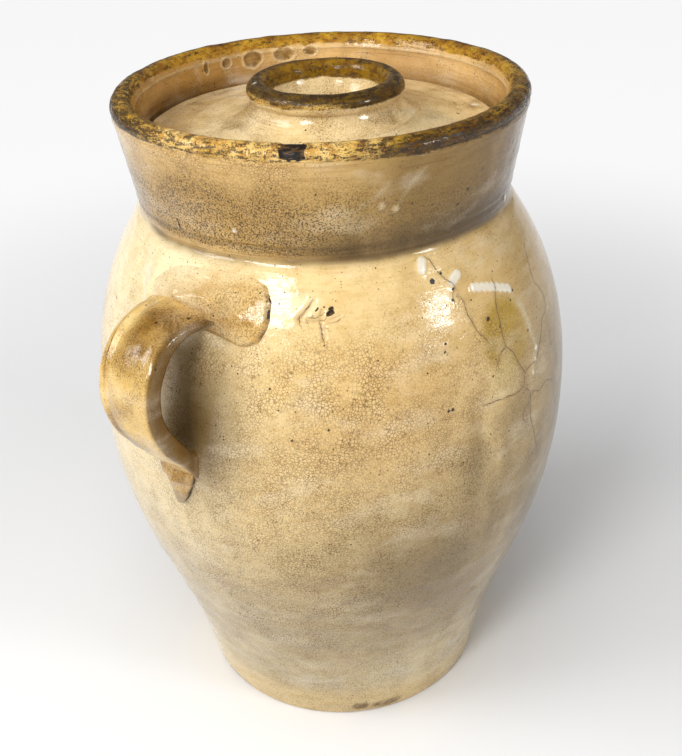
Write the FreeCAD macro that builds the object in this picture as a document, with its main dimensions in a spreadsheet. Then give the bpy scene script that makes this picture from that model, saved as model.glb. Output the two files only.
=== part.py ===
import math
import os

import FreeCAD
import Part
import Sketcher

# Lidded stoneware churn crock, a parametric document in millimetres.
#
# Row frame: +Z up, the origin on the axis of revolution at the flat base, the handle towards -X.
# crock  a thrown and fired body: solid of revolution, strap handle, thumb-pressed upper root and tail,
#        hollowed by one groove that also makes the ledge the lid sits on.
# lid    a thrown disc that rests on that ledge, with a raised ring round a cup and a dasher hole.

# Driving sizes: alias, value, what it is. Lengths in millimetres, angles in degrees.
SIZES = [
    ("crock_height", 400.0, "base to the top of the lip"),
    ("base_radius", 96.0, "radius where the foot meets the ground"),
    ("base_edge", 3.0, "rounding of the foot's lower edge"),
    ("foot_height", 28.0, "top of the nearly upright foot"),
    ("foot_radius", 101.5, "radius at the top of the foot"),
    ("foot_lean", 11.2, "lean of the wall where it leaves the foot"),
    ("foot_pull", 70.0, "how far up the wall keeps that lean"),
    ("belly_height", 212.0, "height of the widest girth"),
    ("belly_radius", 144.4, "widest radius"),
    ("belly_pull_down", 78.0, "how far down the wall stays upright"),
    ("belly_pull_up", 36.0, "how far up the wall stays upright"),
    ("shoulder_inset", 3.3, "how much the shoulder's pull point lies inside the belly"),
    ("shoulder_pull_down", 48.5, "how far below the collar the shoulder keeps its slope"),
    ("collar_height", 63.0, "foot of the collar to the top of the lip"),
    ("collar_wall", 12.6, "wall at the foot of the collar"),
    ("collar_fillet", 5.0, "hollow rounding at the foot of the collar"),
    ("lip_thickness", 13.4, "thickness of the round lip"),
    ("lip_flare", 0.8, "how much the gallery opens from the ledge up to the lip"),
    ("wall", 11.0, "thrown wall"),
    ("floor_thickness", 14.0, "floor of the pot"),
    ("floor_corner", 12.0, "rounding inside, between floor and wall"),
    ("ledge_width", 5.8, "how much of the lid's underside rests on the ledge"),
    ("ledge_depth", 34.0, "from the top of the lip down to the lid's ledge"),
    ("strap_width", 37.0, "width of the strap at its middle"),
    ("strap_crown", 14.0, "thickness of the strap along its middle line"),
    ("strap_edge", 10.5, "thickness of the strap along its two edges"),
    ("upper_root_width", 48.0, "width of the strap where it leaves the shoulder"),
    ("lower_root_width", 26.0, "width of the strap where it meets the belly"),
    ("strap_drop", 4.2, "strap's upper run below the middle of its root"),
    ("finger_gap", 16.2, "clear space between belly and strap"),
    ("upper_bend", 34.0, "radius of the strap's upper bend"),
    ("lower_bend", 48.0, "radius of the strap's lower bend"),
    ("lower_turn", 37.0, "how far the lower bend turns"),
    ("lower_run", 33.0, "straight end that goes into the belly"),
    ("pad_half_width", 48.0, "thumb-pressed root, half its width"),
    ("pad_half_height", 20.0, "thumb-pressed root, half its height"),
    ("pad_half_depth", 9.0, "thumb-pressed root, half its thickness"),
    ("pad_lean", 33.0, "tilt of the root, which lies on the shoulder"),
    ("pad_place", 0.85, "where the root lies along the shoulder, 0 at the belly and 1 at the collar"),
    ("pad_sink", 3.6, "how deep the root's centre lies in the shoulder"),
    ("tail_half_width", 13.5, "smeared tail, half its width"),
    ("tail_half_height", 24.0, "smeared tail, half its height"),
    ("tail_half_depth", 7.0, "smeared tail, half its thickness"),
    ("tail_height", 222.0, "height of the tail's centre"),
    ("lid_radius", 99.8, "outer radius of the lid"),
    ("lid_clearance", 1.8, "gap between the lid and the collar, at the ledge"),
    ("lid_thickness", 9.0, "lid at its edge"),
    ("lid_edge", 3.0, "rounding of the lid's edges"),
    ("dome_rise", 4.0, "how much the lid's top rises towards the ring"),
    ("dome_radius", 55.0, "where the top starts to sweep up into the ring"),
    ("ring_radius", 44.2, "outer radius of the ring"),
    ("ring_thickness", 13.0, "thickness of the round ring"),
    ("ring_rise", 26.0, "top of the ring above the lid's edge"),
    ("ring_overhang", 2.0, "how much the ring stands out over its neck"),
    ("cup_depth", 25.0, "depth of the cup inside the ring"),
    ("cup_floor_radius", 24.0, "radius of the cup's floor"),
    ("dasher_hole_radius", 17.0, "hole for the dasher rod"),
]

# Sizes that follow from those. The collar and its ledge are made round the lid that they hold.
NECK_HEIGHT = "(Sizes.crock_height - Sizes.collar_height)"
LEDGE_HEIGHT = "(Sizes.crock_height - Sizes.ledge_depth)"
THROAT_RADIUS = "(Sizes.lid_radius - Sizes.ledge_width)"
NECK_RADIUS = f"({THROAT_RADIUS} + Sizes.collar_wall)"
GALLERY_RADIUS = "(Sizes.lid_radius + Sizes.lid_clearance)"
LIP_INNER_RADIUS = f"({GALLERY_RADIUS} + Sizes.lip_flare)"
LIP_MIDDLE_RADIUS = f"({LIP_INNER_RADIUS} + Sizes.lip_thickness / 2)"
LIP_RADIUS = f"({LIP_INNER_RADIUS} + Sizes.lip_thickness)"
LIP_HEIGHT = "(Sizes.crock_height - Sizes.lip_thickness / 2)"

# The outside of the shoulder is one cubic curve; these are its four points, as radius and height.
SHOULDER = (
    ("Sizes.belly_radius", "Sizes.belly_height"),
    ("Sizes.belly_radius", "(Sizes.belly_height + Sizes.belly_pull_up)"),
    ("(Sizes.belly_radius - Sizes.shoulder_inset)", f"({NECK_HEIGHT} - Sizes.shoulder_pull_down)"),
    (NECK_RADIUS, NECK_HEIGHT),
)


def along_shoulder(axis):
    """Radius (axis 0) or height (axis 1) of the shoulder where the handle's upper root lies."""
    t = "Sizes.pad_place"
    weights = (f"(1 - {t})^3", f"3 * {t} * (1 - {t})^2", f"3 * {t}^2 * (1 - {t})", f"{t}^3")
    terms = [f"{weight} * {point[axis]}" for weight, point in zip(weights, SHOULDER)]
    return "(" + " + ".join(terms) + ")"


PAD_RADIUS = f"({along_shoulder(0)} - Sizes.pad_sink * cos(Sizes.pad_lean * 1 deg))"
PAD_HEIGHT = f"({along_shoulder(1)} - Sizes.pad_sink * sin(Sizes.pad_lean * 1 deg))"
STRAP_TOP = f"({along_shoulder(1)} - Sizes.strap_drop)"

doc = FreeCAD.newDocument("StonewareCrock")
sheet = doc.addObject("Spreadsheet::Sheet", "Sizes")
for row, (alias, value, meaning) in enumerate(SIZES, start=1):
    sheet.set(f"A{row}", meaning)
    sheet.set(f"B{row}", str(value))
    sheet.setAlias(f"B{row}", alias)
doc.recompute()


def size(expression):
    """The number that an expression over the sheet's aliases gives now."""
    return float(sheet.evalExpression(expression))


def origin_plane(body, role):
    return [item for item in body.Origin.OriginFeatures if item.Role == role][0]


def new_sketch(body, name, role):
    sketch = body.newObject("Sketcher::SketchObject", name)
    sketch.AttachmentSupport = [(origin_plane(body, role), "")]
    sketch.MapMode = "FlatFace"
    return sketch


class Outline:
    """A closed outline: it is drawn from point to point, and every point is tied to the sheet."""

    def __init__(self, sketch, start_x, start_y):
        self.sketch = sketch
        self.start = (start_x, start_y)
        self.here = (start_x, start_y)
        self.first_edge = None
        self.last_end = None

    def vector(self, point):
        return FreeCAD.Vector(size(point[0]), size(point[1]), 0)

    def tie(self, geometry, position, point):
        """Two driving distances from the sketch's origin to a point."""
        for kind, expression in (("DistanceX", point[0]), ("DistanceY", point[1])):
            index = self.sketch.addConstraint(
                Sketcher.Constraint(kind, -1, 1, geometry, position, size(expression)))
            self.sketch.setExpression(f"Constraints[{index}]", expression)

    def join(self, geometry, start, end):
        """Chain an edge to the one before it and tie its far end, unless that closes the outline."""
        if self.first_edge is None:
            self.first_edge = (geometry, start)
            self.tie(geometry, start, self.start)
        else:
            self.sketch.addConstraint(
                Sketcher.Constraint("Coincident", *self.last_end, geometry, start))
        self.last_end = (geometry, end)

    def line(self, x, y):
        segment = Part.LineSegment(self.vector(self.here), self.vector((x, y)))
        geometry = self.sketch.addGeometry(segment)
        self.join(geometry, 1, 2)
        self.tie(geometry, 2, (x, y))
        self.here = (x, y)

    def close(self):
        segment = Part.LineSegment(self.vector(self.here), self.vector(self.start))
        geometry = self.sketch.addGeometry(segment)
        self.join(geometry, 1, 2)
        self.sketch.addConstraint(Sketcher.Constraint("Coincident", geometry, 2, *self.first_edge))

    def arc(self, x, y, centre_x, centre_y, clockwise=False):
        """A round stretch about a centre that is tied to the sheet too."""
        centre = self.vector((centre_x, centre_y))
        begin = self.vector(self.here) - centre
        end = self.vector((x, y)) - centre
        angles = [math.atan2(begin.y, begin.x), math.atan2(end.y, end.x)]
        if clockwise:
            angles.reverse()
        circle = Part.Circle(centre, FreeCAD.Vector(0, 0, 1), begin.Length)
        geometry = self.sketch.addGeometry(Part.ArcOfCircle(circle, *angles))
        start, finish = (2, 1) if clockwise else (1, 2)
        self.join(geometry, start, finish)
        self.tie(geometry, 3, (centre_x, centre_y))
        # The radius follows from the start and the centre, so the far end needs one more distance only.
        sideways = abs(end.x) < abs(end.y)
        kind, expression = ("DistanceX", x) if sideways else ("DistanceY", y)
        index = self.sketch.addConstraint(
            Sketcher.Constraint(kind, -1, 1, geometry, finish, size(expression)))
        self.sketch.setExpression(f"Constraints[{index}]", expression)
        self.here = (x, y)

    def curve(self, *points):
        """A cubic curve: two pull points and the far end."""
        spline = Part.BSplineCurve()
        poles = [self.here, *points]
        spline.buildFromPolesMultsKnots([self.vector(pole) for pole in poles], (4, 4), (0, 1), False, 3)
        geometry = self.sketch.addGeometry(spline)
        self.sketch.exposeInternalGeometry(geometry)
        self.join(geometry, 1, 2)
        for place, point in enumerate(points, start=2):
            self.tie(geometry + place, 3, point)
        self.here = points[-1]


def revolve(body, kind, name, sketch):
    """A full turn about the sketch's upright axis."""
    feature = body.newObject(kind, name)
    feature.Profile = sketch
    feature.ReferenceAxis = (sketch, ["V_Axis"])
    feature.Angle = 360.0
    return feature


def circles_at(shape, radius, height):
    """Names of the level circular edges of that radius at that height."""
    names = []
    for number, edge in enumerate(shape.Edges, start=1):
        if not isinstance(edge.Curve, Part.Circle):
            continue
        level = abs(edge.Curve.Center.z - height) < 0.01
        if level and abs(edge.Curve.Radius - radius) < 0.01:
            names.append(f"Edge{number}")
    return names


def outer_turning(body):
    """The thrown outside: foot, belly, shoulder, collar and the outer half of the lip."""
    sketch = new_sketch(body, "OuterOutline", "XZ_Plane")
    outline = Outline(sketch, "0", "0")
    outline.line("Sizes.base_radius", "0")
    outline.line("Sizes.foot_radius", "Sizes.foot_height")
    outline.curve(
        ("Sizes.foot_radius + Sizes.foot_pull * tan(Sizes.foot_lean * 1 deg)",
         "Sizes.foot_height + Sizes.foot_pull"),
        ("Sizes.belly_radius", "Sizes.belly_height - Sizes.belly_pull_down"),
        ("Sizes.belly_radius", "Sizes.belly_height"))
    outline.curve(*SHOULDER[1:])
    outline.line(LIP_RADIUS, LIP_HEIGHT)
    outline.arc(LIP_MIDDLE_RADIUS, "Sizes.crock_height", LIP_MIDDLE_RADIUS, LIP_HEIGHT)
    outline.line("0", "Sizes.crock_height")
    outline.close()
    revolve(body, "PartDesign::Revolution", "Thrown", sketch)
    doc.recompute()
    for name, radius, height, rounding in (
            ("NeckHollow", NECK_RADIUS, NECK_HEIGHT, "Sizes.collar_fillet"),
            ("FootEdge", "Sizes.base_radius", "0", "Sizes.base_edge")):
        base = body.Tip
        fillet = body.newObject("PartDesign::Fillet", name)
        fillet.Base = (base, circles_at(base.Shape, size(radius), size(height)))
        fillet.setExpression("Radius", rounding)
        doc.recompute()


def strap_section(body, name, role, width, offset):
    """The strap's section: flat towards the hand, round edges, crowned outside."""
    sketch = new_sketch(body, name, role)
    sketch.setExpression("AttachmentOffset", offset)
    half_flat = f"({width} / 2 - Sizes.strap_edge / 2)"
    inner = "-Sizes.strap_crown / 2"
    middle = "(Sizes.strap_edge - Sizes.strap_crown) / 2"
    outer = "Sizes.strap_edge - Sizes.strap_crown / 2"
    outline = Outline(sketch, f"-{half_flat}", inner)
    outline.line(half_flat, inner)
    outline.arc(half_flat, outer, half_flat, middle)
    outline.curve(
        (f"{half_flat} / 2", "Sizes.strap_crown / 2 + (Sizes.strap_crown - Sizes.strap_edge) / 6"),
        (f"-{half_flat} / 2", "Sizes.strap_crown / 2 + (Sizes.strap_crown - Sizes.strap_edge) / 6"),
        (f"-{half_flat}", outer))
    outline.arc(f"-{half_flat}", inner, f"-{half_flat}", middle)
    return sketch


def strap_handle(body):
    """The strap: out from the shoulder, down in a bend, and back into the belly."""
    reach = "(Sizes.belly_radius + Sizes.finger_gap + Sizes.strap_crown / 2)"
    bend_height = f"({STRAP_TOP} - Sizes.upper_bend)"
    root = f"({NECK_RADIUS} - Sizes.wall)"
    turn = "(Sizes.lower_turn * 1 deg)"
    low_x = f"(-{reach} + Sizes.lower_bend * (1 - cos({turn})))"
    low_z = f"({bend_height} - Sizes.lower_bend * sin({turn}))"
    end_x = f"({low_x} + Sizes.lower_run * sin({turn}))"
    end_z = f"({low_z} - Sizes.lower_run * cos({turn}))"

    spine = new_sketch(body, "StrapPath", "XZ_Plane")
    path = Outline(spine, f"-{root}", STRAP_TOP)
    path.line(f"-{reach} + Sizes.upper_bend", STRAP_TOP)
    path.arc(f"-{reach}", bend_height, f"-{reach} + Sizes.upper_bend", bend_height)
    path.arc(low_x, low_z, f"-{reach} + Sizes.lower_bend", bend_height)
    path.line(end_x, end_z)

    top = strap_section(
        body, "UpperRootSection", "YZ_Plane", "Sizes.upper_root_width",
        f"placement(vector(0; {STRAP_TOP}; -{root}); rotation(vector(0; 0; 1); 0))")
    middle = strap_section(
        body, "MiddleSection", "XY_Plane", "Sizes.strap_width",
        f"placement(vector(-{reach}; 0; {bend_height}); rotation(vector(0; 0; 1); 90))")
    tilted = f"rotation(vector(0; 1; 0); -{turn}) * rotation(vector(0; 0; 1); 90)"
    bend_end = strap_section(
        body, "BendEndSection", "XY_Plane", "Sizes.strap_width",
        f"placement(vector({low_x}; 0; {low_z}); {tilted})")
    low = strap_section(
        body, "LowerRootSection", "XY_Plane", "Sizes.lower_root_width",
        f"placement(vector({end_x}; 0; {end_z}); {tilted})")
    strap = body.newObject("PartDesign::AdditivePipe", "Strap")
    strap.Profile = top
    strap.Spine = (spine, [])
    strap.Transformation = "Multisection"
    strap.Sections = [middle, bend_end, low]
    doc.recompute()


def pressed_lump(body, name, half_width, half_height, half_depth, centre_x, centre_z, lean):
    """A smeared lump of clay: an ellipsoid, thin across the wall that it lies on."""
    lump = body.newObject("PartDesign::AdditiveEllipsoid", name)
    lump.AttachmentSupport = [(origin_plane(body, "XY_Plane"), "")]
    lump.MapMode = "FlatFace"
    lump.setExpression(
        "AttachmentOffset",
        f"placement(vector({centre_x}; 0; {centre_z}); rotation(vector(0; 1; 0); {lean}))")
    lump.setExpression("Radius1", half_height)
    lump.setExpression("Radius2", half_depth)
    lump.setExpression("Radius3", half_width)
    doc.recompute()


def hollow(body):
    """Everything inside: the lip's inner half, the gallery and its ledge, the throat and the pot."""
    inner_belly = "(Sizes.belly_radius - Sizes.wall)"
    foot_wall = "(Sizes.foot_radius - Sizes.wall)"
    lean = "tan(Sizes.foot_lean * 1 deg)"
    above = "Sizes.crock_height + Sizes.lip_thickness"

    sketch = new_sketch(body, "InnerOutline", "XZ_Plane")
    outline = Outline(sketch, "0", "Sizes.floor_thickness")
    outline.line(f"{foot_wall} - Sizes.floor_corner", "Sizes.floor_thickness")
    outline.curve(
        (f"{foot_wall} - Sizes.floor_corner / 2", "Sizes.floor_thickness"),
        (f"{foot_wall}", "Sizes.floor_thickness + Sizes.floor_corner / 2"),
        (f"{foot_wall}", "Sizes.floor_thickness + Sizes.floor_corner"))
    outline.curve(
        (f"{foot_wall} + Sizes.foot_pull * {lean}", "Sizes.foot_height + Sizes.foot_pull"),
        (inner_belly, "Sizes.belly_height - Sizes.belly_pull_down"),
        (inner_belly, "Sizes.belly_height"))
    outline.curve(
        (inner_belly, "Sizes.belly_height + Sizes.belly_pull_up"),
        (f"{SHOULDER[2][0]} - Sizes.collar_wall", f"{SHOULDER[2][1]} - Sizes.wall / 2"),
        (THROAT_RADIUS, NECK_HEIGHT))
    outline.line(THROAT_RADIUS, LEDGE_HEIGHT)
    outline.line(GALLERY_RADIUS, LEDGE_HEIGHT)
    outline.line(LIP_INNER_RADIUS, LIP_HEIGHT)
    outline.arc(
        LIP_MIDDLE_RADIUS, "Sizes.crock_height", LIP_MIDDLE_RADIUS, LIP_HEIGHT, clockwise=True)
    outline.line(LIP_MIDDLE_RADIUS, above)
    outline.line("0", above)
    outline.close()
    revolve(body, "PartDesign::Groove", "Hollow", sketch)
    doc.recompute()


def make_crock():
    body = doc.addObject("PartDesign::Body", "crock")
    body.Label = "crock"
    outer_turning(body)
    strap_handle(body)
    pressed_lump(
        body, "ThumbPressedRoot", "Sizes.pad_half_width", "Sizes.pad_half_height",
        "Sizes.pad_half_depth", f"(-{PAD_RADIUS})", PAD_HEIGHT, "Sizes.pad_lean")
    pressed_lump(
        body, "SmearedTail", "Sizes.tail_half_width", "Sizes.tail_half_height",
        "Sizes.tail_half_depth", "(-Sizes.belly_radius)", "Sizes.tail_height", "0")
    hollow(body)
    return body


def make_lid():
    """Modelled with its flat underside at zero, then placed on the ledge."""
    top = "Sizes.lid_thickness"
    dome = "Sizes.lid_thickness + Sizes.dome_rise"
    ring_top = "Sizes.lid_thickness + Sizes.ring_rise"
    ring_middle = f"({ring_top} - Sizes.ring_thickness / 2)"
    cup_floor = f"({ring_top} - Sizes.cup_depth)"
    cup_wall = "(Sizes.ring_radius - Sizes.ring_thickness)"
    side = "(Sizes.lid_radius - Sizes.lid_edge)"
    crest = "Sizes.ring_radius - Sizes.ring_thickness / 2"
    neck = "Sizes.ring_radius - Sizes.ring_overhang"

    body = doc.addObject("PartDesign::Body", "lid")
    body.Label = "lid"
    sketch = new_sketch(body, "LidOutline", "XZ_Plane")
    outline = Outline(sketch, "Sizes.dasher_hole_radius", "0")
    outline.line(side, "0")
    outline.arc("Sizes.lid_radius", "Sizes.lid_edge", side, "Sizes.lid_edge")
    outline.line("Sizes.lid_radius", f"{top} - Sizes.lid_edge")
    outline.arc(side, top, side, f"{top} - Sizes.lid_edge")
    outline.line("Sizes.dome_radius", dome)
    outline.curve(
        (neck, dome),
        (neck, f"({dome} + {ring_middle}) / 2"),
        ("Sizes.ring_radius", ring_middle))
    outline.arc(crest, ring_top, crest, ring_middle)
    outline.arc(cup_wall, ring_middle, crest, ring_middle)
    outline.curve(
        (cup_wall, f"({cup_floor} + {ring_middle}) / 2"),
        (cup_wall, cup_floor),
        ("Sizes.cup_floor_radius", cup_floor))
    outline.line("Sizes.dasher_hole_radius", cup_floor)
    outline.close()
    revolve(body, "PartDesign::Revolution", "Turned", sketch)
    body.setExpression("Placement.Base.z", LEDGE_HEIGHT)
    doc.recompute()
    return body


def check_document():
    """Stop before anything is written if a feature failed, which recompute alone doesn't report."""
    doc.recompute()
    for item in doc.Objects:
        if "Invalid" in item.State or "Error" in item.State:
            raise RuntimeError(f"{item.Name} failed: {item.State}")


def check_piece(body):
    shape = body.Shape
    if shape.isNull() or not shape.isValid():
        raise RuntimeError(f"{body.Label} has no valid shape")
    if len(shape.Solids) != 1:
        raise RuntimeError(f"{body.Label} is {len(shape.Solids)} solids, not one")
    volumes = [item.Shape.Volume for item in body.Group if item.TypeId.startswith("PartDesign::Add")]
    for before, after in zip(volumes, volumes[1:]):
        if after <= before:
            raise RuntimeError(f"a lump or strap of {body.Label} added nothing")


crock = make_crock()
lid = make_lid()
check_document()
os.makedirs("parts", exist_ok=True)
for piece in (crock, lid):
    check_piece(piece)
    piece.Shape.exportStep(f"parts/{piece.Label}.step")
    print(piece.Label, round(piece.Shape.Volume), "cubic mm")
overlap = crock.Shape.common(lid.Shape).Volume
print("overlap of lid and crock", round(overlap, 3), "cubic mm")
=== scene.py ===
"""The stoneware crock and its lid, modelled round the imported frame, with a studio to stand in."""
import math

import bpy
import numpy as np
from mathutils import Matrix


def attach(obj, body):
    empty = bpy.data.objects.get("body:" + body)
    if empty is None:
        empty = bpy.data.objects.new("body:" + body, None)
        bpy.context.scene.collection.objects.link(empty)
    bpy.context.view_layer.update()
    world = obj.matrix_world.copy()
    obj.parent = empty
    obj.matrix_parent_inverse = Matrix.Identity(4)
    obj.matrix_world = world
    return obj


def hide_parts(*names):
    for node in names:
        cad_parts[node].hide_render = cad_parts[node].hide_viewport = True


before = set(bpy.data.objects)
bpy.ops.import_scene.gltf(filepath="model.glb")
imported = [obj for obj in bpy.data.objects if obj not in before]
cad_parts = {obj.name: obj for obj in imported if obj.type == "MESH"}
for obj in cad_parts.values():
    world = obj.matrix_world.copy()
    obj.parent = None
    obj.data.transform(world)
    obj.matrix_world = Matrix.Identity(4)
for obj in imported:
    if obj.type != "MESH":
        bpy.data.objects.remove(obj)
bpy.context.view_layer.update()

# Sizes in millimetres, as part.py states them.
CROCK_HEIGHT = 400.0
BASE_RADIUS, BASE_EDGE = 96.0, 3.0
FOOT_RADIUS, FOOT_HEIGHT, FOOT_LEAN, FOOT_PULL = 101.5, 28.0, math.radians(11.2), 70.0
BELLY_RADIUS, BELLY_HEIGHT, BELLY_PULL_DOWN, BELLY_PULL_UP = 144.4, 212.0, 78.0, 36.0
SHOULDER_INSET, SHOULDER_PULL_DOWN = 3.3, 48.5
LID_RADIUS, LID_CLEARANCE, LID_THICKNESS = 99.8, 1.8, 9.0
LEDGE_DEPTH, LEDGE_WIDTH = 34.0, 5.8
COLLAR_HEIGHT, COLLAR_WALL = 63.0, 12.6
LIP_THICKNESS, LIP_FLARE = 13.4, 0.8
WALL, FLOOR_THICKNESS, FLOOR_CORNER = 11.0, 14.0, 12.0
DOME_RISE, DOME_RADIUS = 4.0, 55.0
RING_RADIUS, RING_THICKNESS, RING_RISE, RING_OVERHANG = 44.2, 13.0, 26.0, 2.0
CUP_DEPTH, CUP_FLOOR_RADIUS, DASHER_HOLE_RADIUS = 25.0, 24.0, 17.0
STRAP_WIDTH, STRAP_CROWN = 37.0, 14.0
UPPER_ROOT_WIDTH, LOWER_ROOT_WIDTH = 48.0, 26.0
FINGER_GAP, UPPER_BEND, LOWER_BEND = 16.2, 34.0, 48.0
LOWER_TURN, LOWER_RUN, STRAP_TOP = math.radians(37.0), 33.0, 311.5

NECK_HEIGHT = CROCK_HEIGHT - COLLAR_HEIGHT
THROAT_RADIUS = LID_RADIUS - LEDGE_WIDTH
NECK_RADIUS = THROAT_RADIUS + COLLAR_WALL
GALLERY_RADIUS = LID_RADIUS + LID_CLEARANCE
LIP_INNER = GALLERY_RADIUS + LIP_FLARE
LIP_MIDDLE = LIP_INNER + LIP_THICKNESS / 2
LIP_RADIUS = LIP_INNER + LIP_THICKNESS
LIP_HEIGHT = CROCK_HEIGHT - LIP_THICKNESS / 2
LEDGE_HEIGHT = CROCK_HEIGHT - LEDGE_DEPTH
REACH = BELLY_RADIUS + FINGER_GAP + STRAP_CROWN / 2

FRONT = -52.0       # direction of the view's middle, in degrees from -Y towards +X
HANDLE = -38.0      # the handle's place round the crock, in degrees from that front

FAR_OFF = -9.0     # how far inside a mark a point is that has none near it
GLAZE_IOR = 1.46
LAMP_AIM = np.array([0.0, 0.0, 0.25])               # in metres, as all that follows
CAMERA_SPOT = np.array([0.0, -0.5688, 0.5520])      # before it is turned round to the front
CAMERA_YAW, CAMERA_PITCH, CAMERA_ROLL = -0.00614, 0.54689, -0.04157     # in radians
CAMERA_LENS, SENSOR_WIDTH, CAMERA_SHIFT = 48.92, 36.0, 0.003            # in millimetres, and a share


# Small mathematics

def smooth(low, high, value):
    """0 below low, 1 above high, and a soft step between them."""
    t = np.clip((value - low) / (high - low), 0.0, 1.0)
    return t * t * (3.0 - 2.0 * t)


def bump(value, centre, half_width):
    """A soft hump of height 1."""
    return np.exp(-((value - centre) / half_width) ** 2)


def lattice(cell, seed):
    """A number from -1 to 1 for each whole-numbered cell."""
    cell = cell.astype(np.int64)
    key = (cell[..., 0] * 73856093) ^ (cell[..., 1] * 19349663) ^ (cell[..., 2] * 83492791)
    key = (key ^ (seed * 2654435761)) & 0xFFFFFFFF
    key = ((key ^ (key >> 15)) * 2246822519) & 0xFFFFFFFF
    key = ((key ^ (key >> 13)) * 3266489917) & 0xFFFFFFFF
    return (key ^ (key >> 16)) / 2147483647.5 - 1.0


def noise(points, size, seed=0):
    """Smooth noise from -1 to 1 with lumps of about that size in millimetres."""
    spot = points / size
    low = np.floor(spot)
    part = spot - low
    part = part * part * (3.0 - 2.0 * part)
    total = 0.0
    for corner in np.ndindex(2, 2, 2):
        weight = np.prod(np.where(corner, part, 1.0 - part), axis=-1)
        total = total + weight * lattice(low + np.array(corner), seed)
    return total


def layered(points, size, seed=0, layers=3):
    """Noise with finer and fainter noise on it."""
    total = 0.0
    for layer in range(layers):
        total = total + noise(points, size / 2 ** layer, seed + 31 * layer) / 2 ** layer
    return total


def squeezed(points, share):
    """Points with their heights made smaller, so that noise on them is drawn out upwards."""
    return points * np.array([1.0, 1.0, share])


def on_line(place):
    """Points on one line, for noise that depends on one measure only."""
    return np.stack([place, 0 * place, 0 * place], -1)


def cubic(a, b, c, d, count=80):
    """Points of a cubic curve from a to d that is pulled towards b and c."""
    t = np.linspace(0.0, 1.0, count)[:, None]
    a, b, c, d = (np.array(p, float) for p in (a, b, c, d))
    return (1 - t) ** 3 * a + 3 * t * (1 - t) ** 2 * b + 3 * t * t * (1 - t) * c + t ** 3 * d


def arc(centre, radius, start, end, count=40):
    """Points of an arc between two angles in degrees, in the plane of radius and height."""
    angle = np.radians(np.linspace(start, end, count))
    return np.stack([centre[0] + radius * np.cos(angle), centre[1] + radius * np.sin(angle)], 1)


def walked(path):
    """The length of the path up to each of its points."""
    return np.concatenate([[0.0], np.cumsum(np.hypot(*np.diff(path, axis=0).T))])


def spaced(path, spacing):
    """The path walked in even steps of about that length."""
    path = np.array(path, float)
    run = walked(path)
    count = max(2, int(round(run[-1] / spacing)) + 1)
    at = np.linspace(0.0, run[-1], count)
    return np.stack([np.interp(at, run, path[:, 0]), np.interp(at, run, path[:, 1])], 1)


def chain(*pieces):
    """Pieces of (path, spacing) joined into one outline of radius and height."""
    rows = [spaced(path, spacing) for path, spacing in pieces]
    return np.concatenate([rows[0]] + [row[1:] for row in rows[1:]])


def outline_normals(outline):
    """Unit vectors square to the outline, to the right of its direction of travel."""
    along = np.gradient(outline, axis=0)
    along /= np.maximum(np.hypot(*along.T), 1e-9)[:, None]
    return np.stack([along[:, 1], -along[:, 0]], 1)


def columns(count, fine=1.0, middle=-4.0, spread=66.0):
    """Angles round the axis in degrees, closer together within spread of the middle."""
    at = np.linspace(-180.0, 180.0, 3601)
    weight = 1.0 + (fine - 1.0) * (1.0 - smooth(spread - 12, spread + 12, np.abs(at)))
    run = np.concatenate([[0.0], np.cumsum((weight[1:] + weight[:-1]) / 2)])
    return middle + np.interp(np.linspace(0.0, run[-1], count + 1)[:-1], run, at)


def around(angle, radius, height):
    """A point from its angle off the front in degrees, its radius and its height."""
    turn = np.radians(angle + FRONT)
    return np.stack(np.broadcast_arrays(radius * np.sin(turn), -radius * np.cos(turn), height), -1)


def spun(outline, angles):
    """An outline turned round the axis: its points and normals, and each row's radius and height."""
    radius, height = outline.T[..., None]
    return (around(angles, radius, height), around(angles, *outline_normals(outline).T[..., None]),
            radius, height)


def angle_of(points):
    """The angle off the front, in degrees from -180 to 180."""
    turn = np.degrees(np.arctan2(points[..., 0], -points[..., 1])) - FRONT
    return (turn + 180.0) % 360.0 - 180.0


def to_line(points, line):
    """Distance from points to a line of points, and on which side of it they lie."""
    best = np.full(points.shape[:-1], 1e9)
    side = np.ones(points.shape[:-1])
    outward = squeezed(points, 0.0)
    for a, b in zip(line[:-1], line[1:]):
        run = b - a
        t = np.clip(((points - a) @ run) / (run @ run), 0.0, 1.0)
        gap = points - (a + t[..., None] * run)
        far = np.linalg.norm(gap, axis=-1)
        turned = np.sign(np.sum(np.cross(run, outward) * gap, axis=-1))
        nearer = far < best
        best = np.where(nearer, far, best)
        side = np.where(nearer, turned, side)
    return best, side


# The outlines

SHOULDER = cubic(
    (BELLY_RADIUS, BELLY_HEIGHT), (BELLY_RADIUS, BELLY_HEIGHT + BELLY_PULL_UP),
    (BELLY_RADIUS - SHOULDER_INSET, NECK_HEIGHT - SHOULDER_PULL_DOWN), (NECK_RADIUS, NECK_HEIGHT))
LOWER_BODY = cubic(
    (FOOT_RADIUS, FOOT_HEIGHT),
    (FOOT_RADIUS + math.tan(FOOT_LEAN) * FOOT_PULL, FOOT_HEIGHT + FOOT_PULL),
    (BELLY_RADIUS, BELLY_HEIGHT - BELLY_PULL_DOWN), (BELLY_RADIUS, BELLY_HEIGHT))
WALL_LINE = np.concatenate([
    [(BASE_RADIUS, 0.0)], LOWER_BODY, SHOULDER[1:], [(LIP_RADIUS, LIP_HEIGHT)]])


def wall_radius(height):
    """Outer radius of the crock at a height."""
    return np.interp(height, WALL_LINE[:, 1], WALL_LINE[:, 0])


def on_wall(angle, height):
    """A point on the outside of the crock."""
    return around(angle, wall_radius(height), height)


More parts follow.
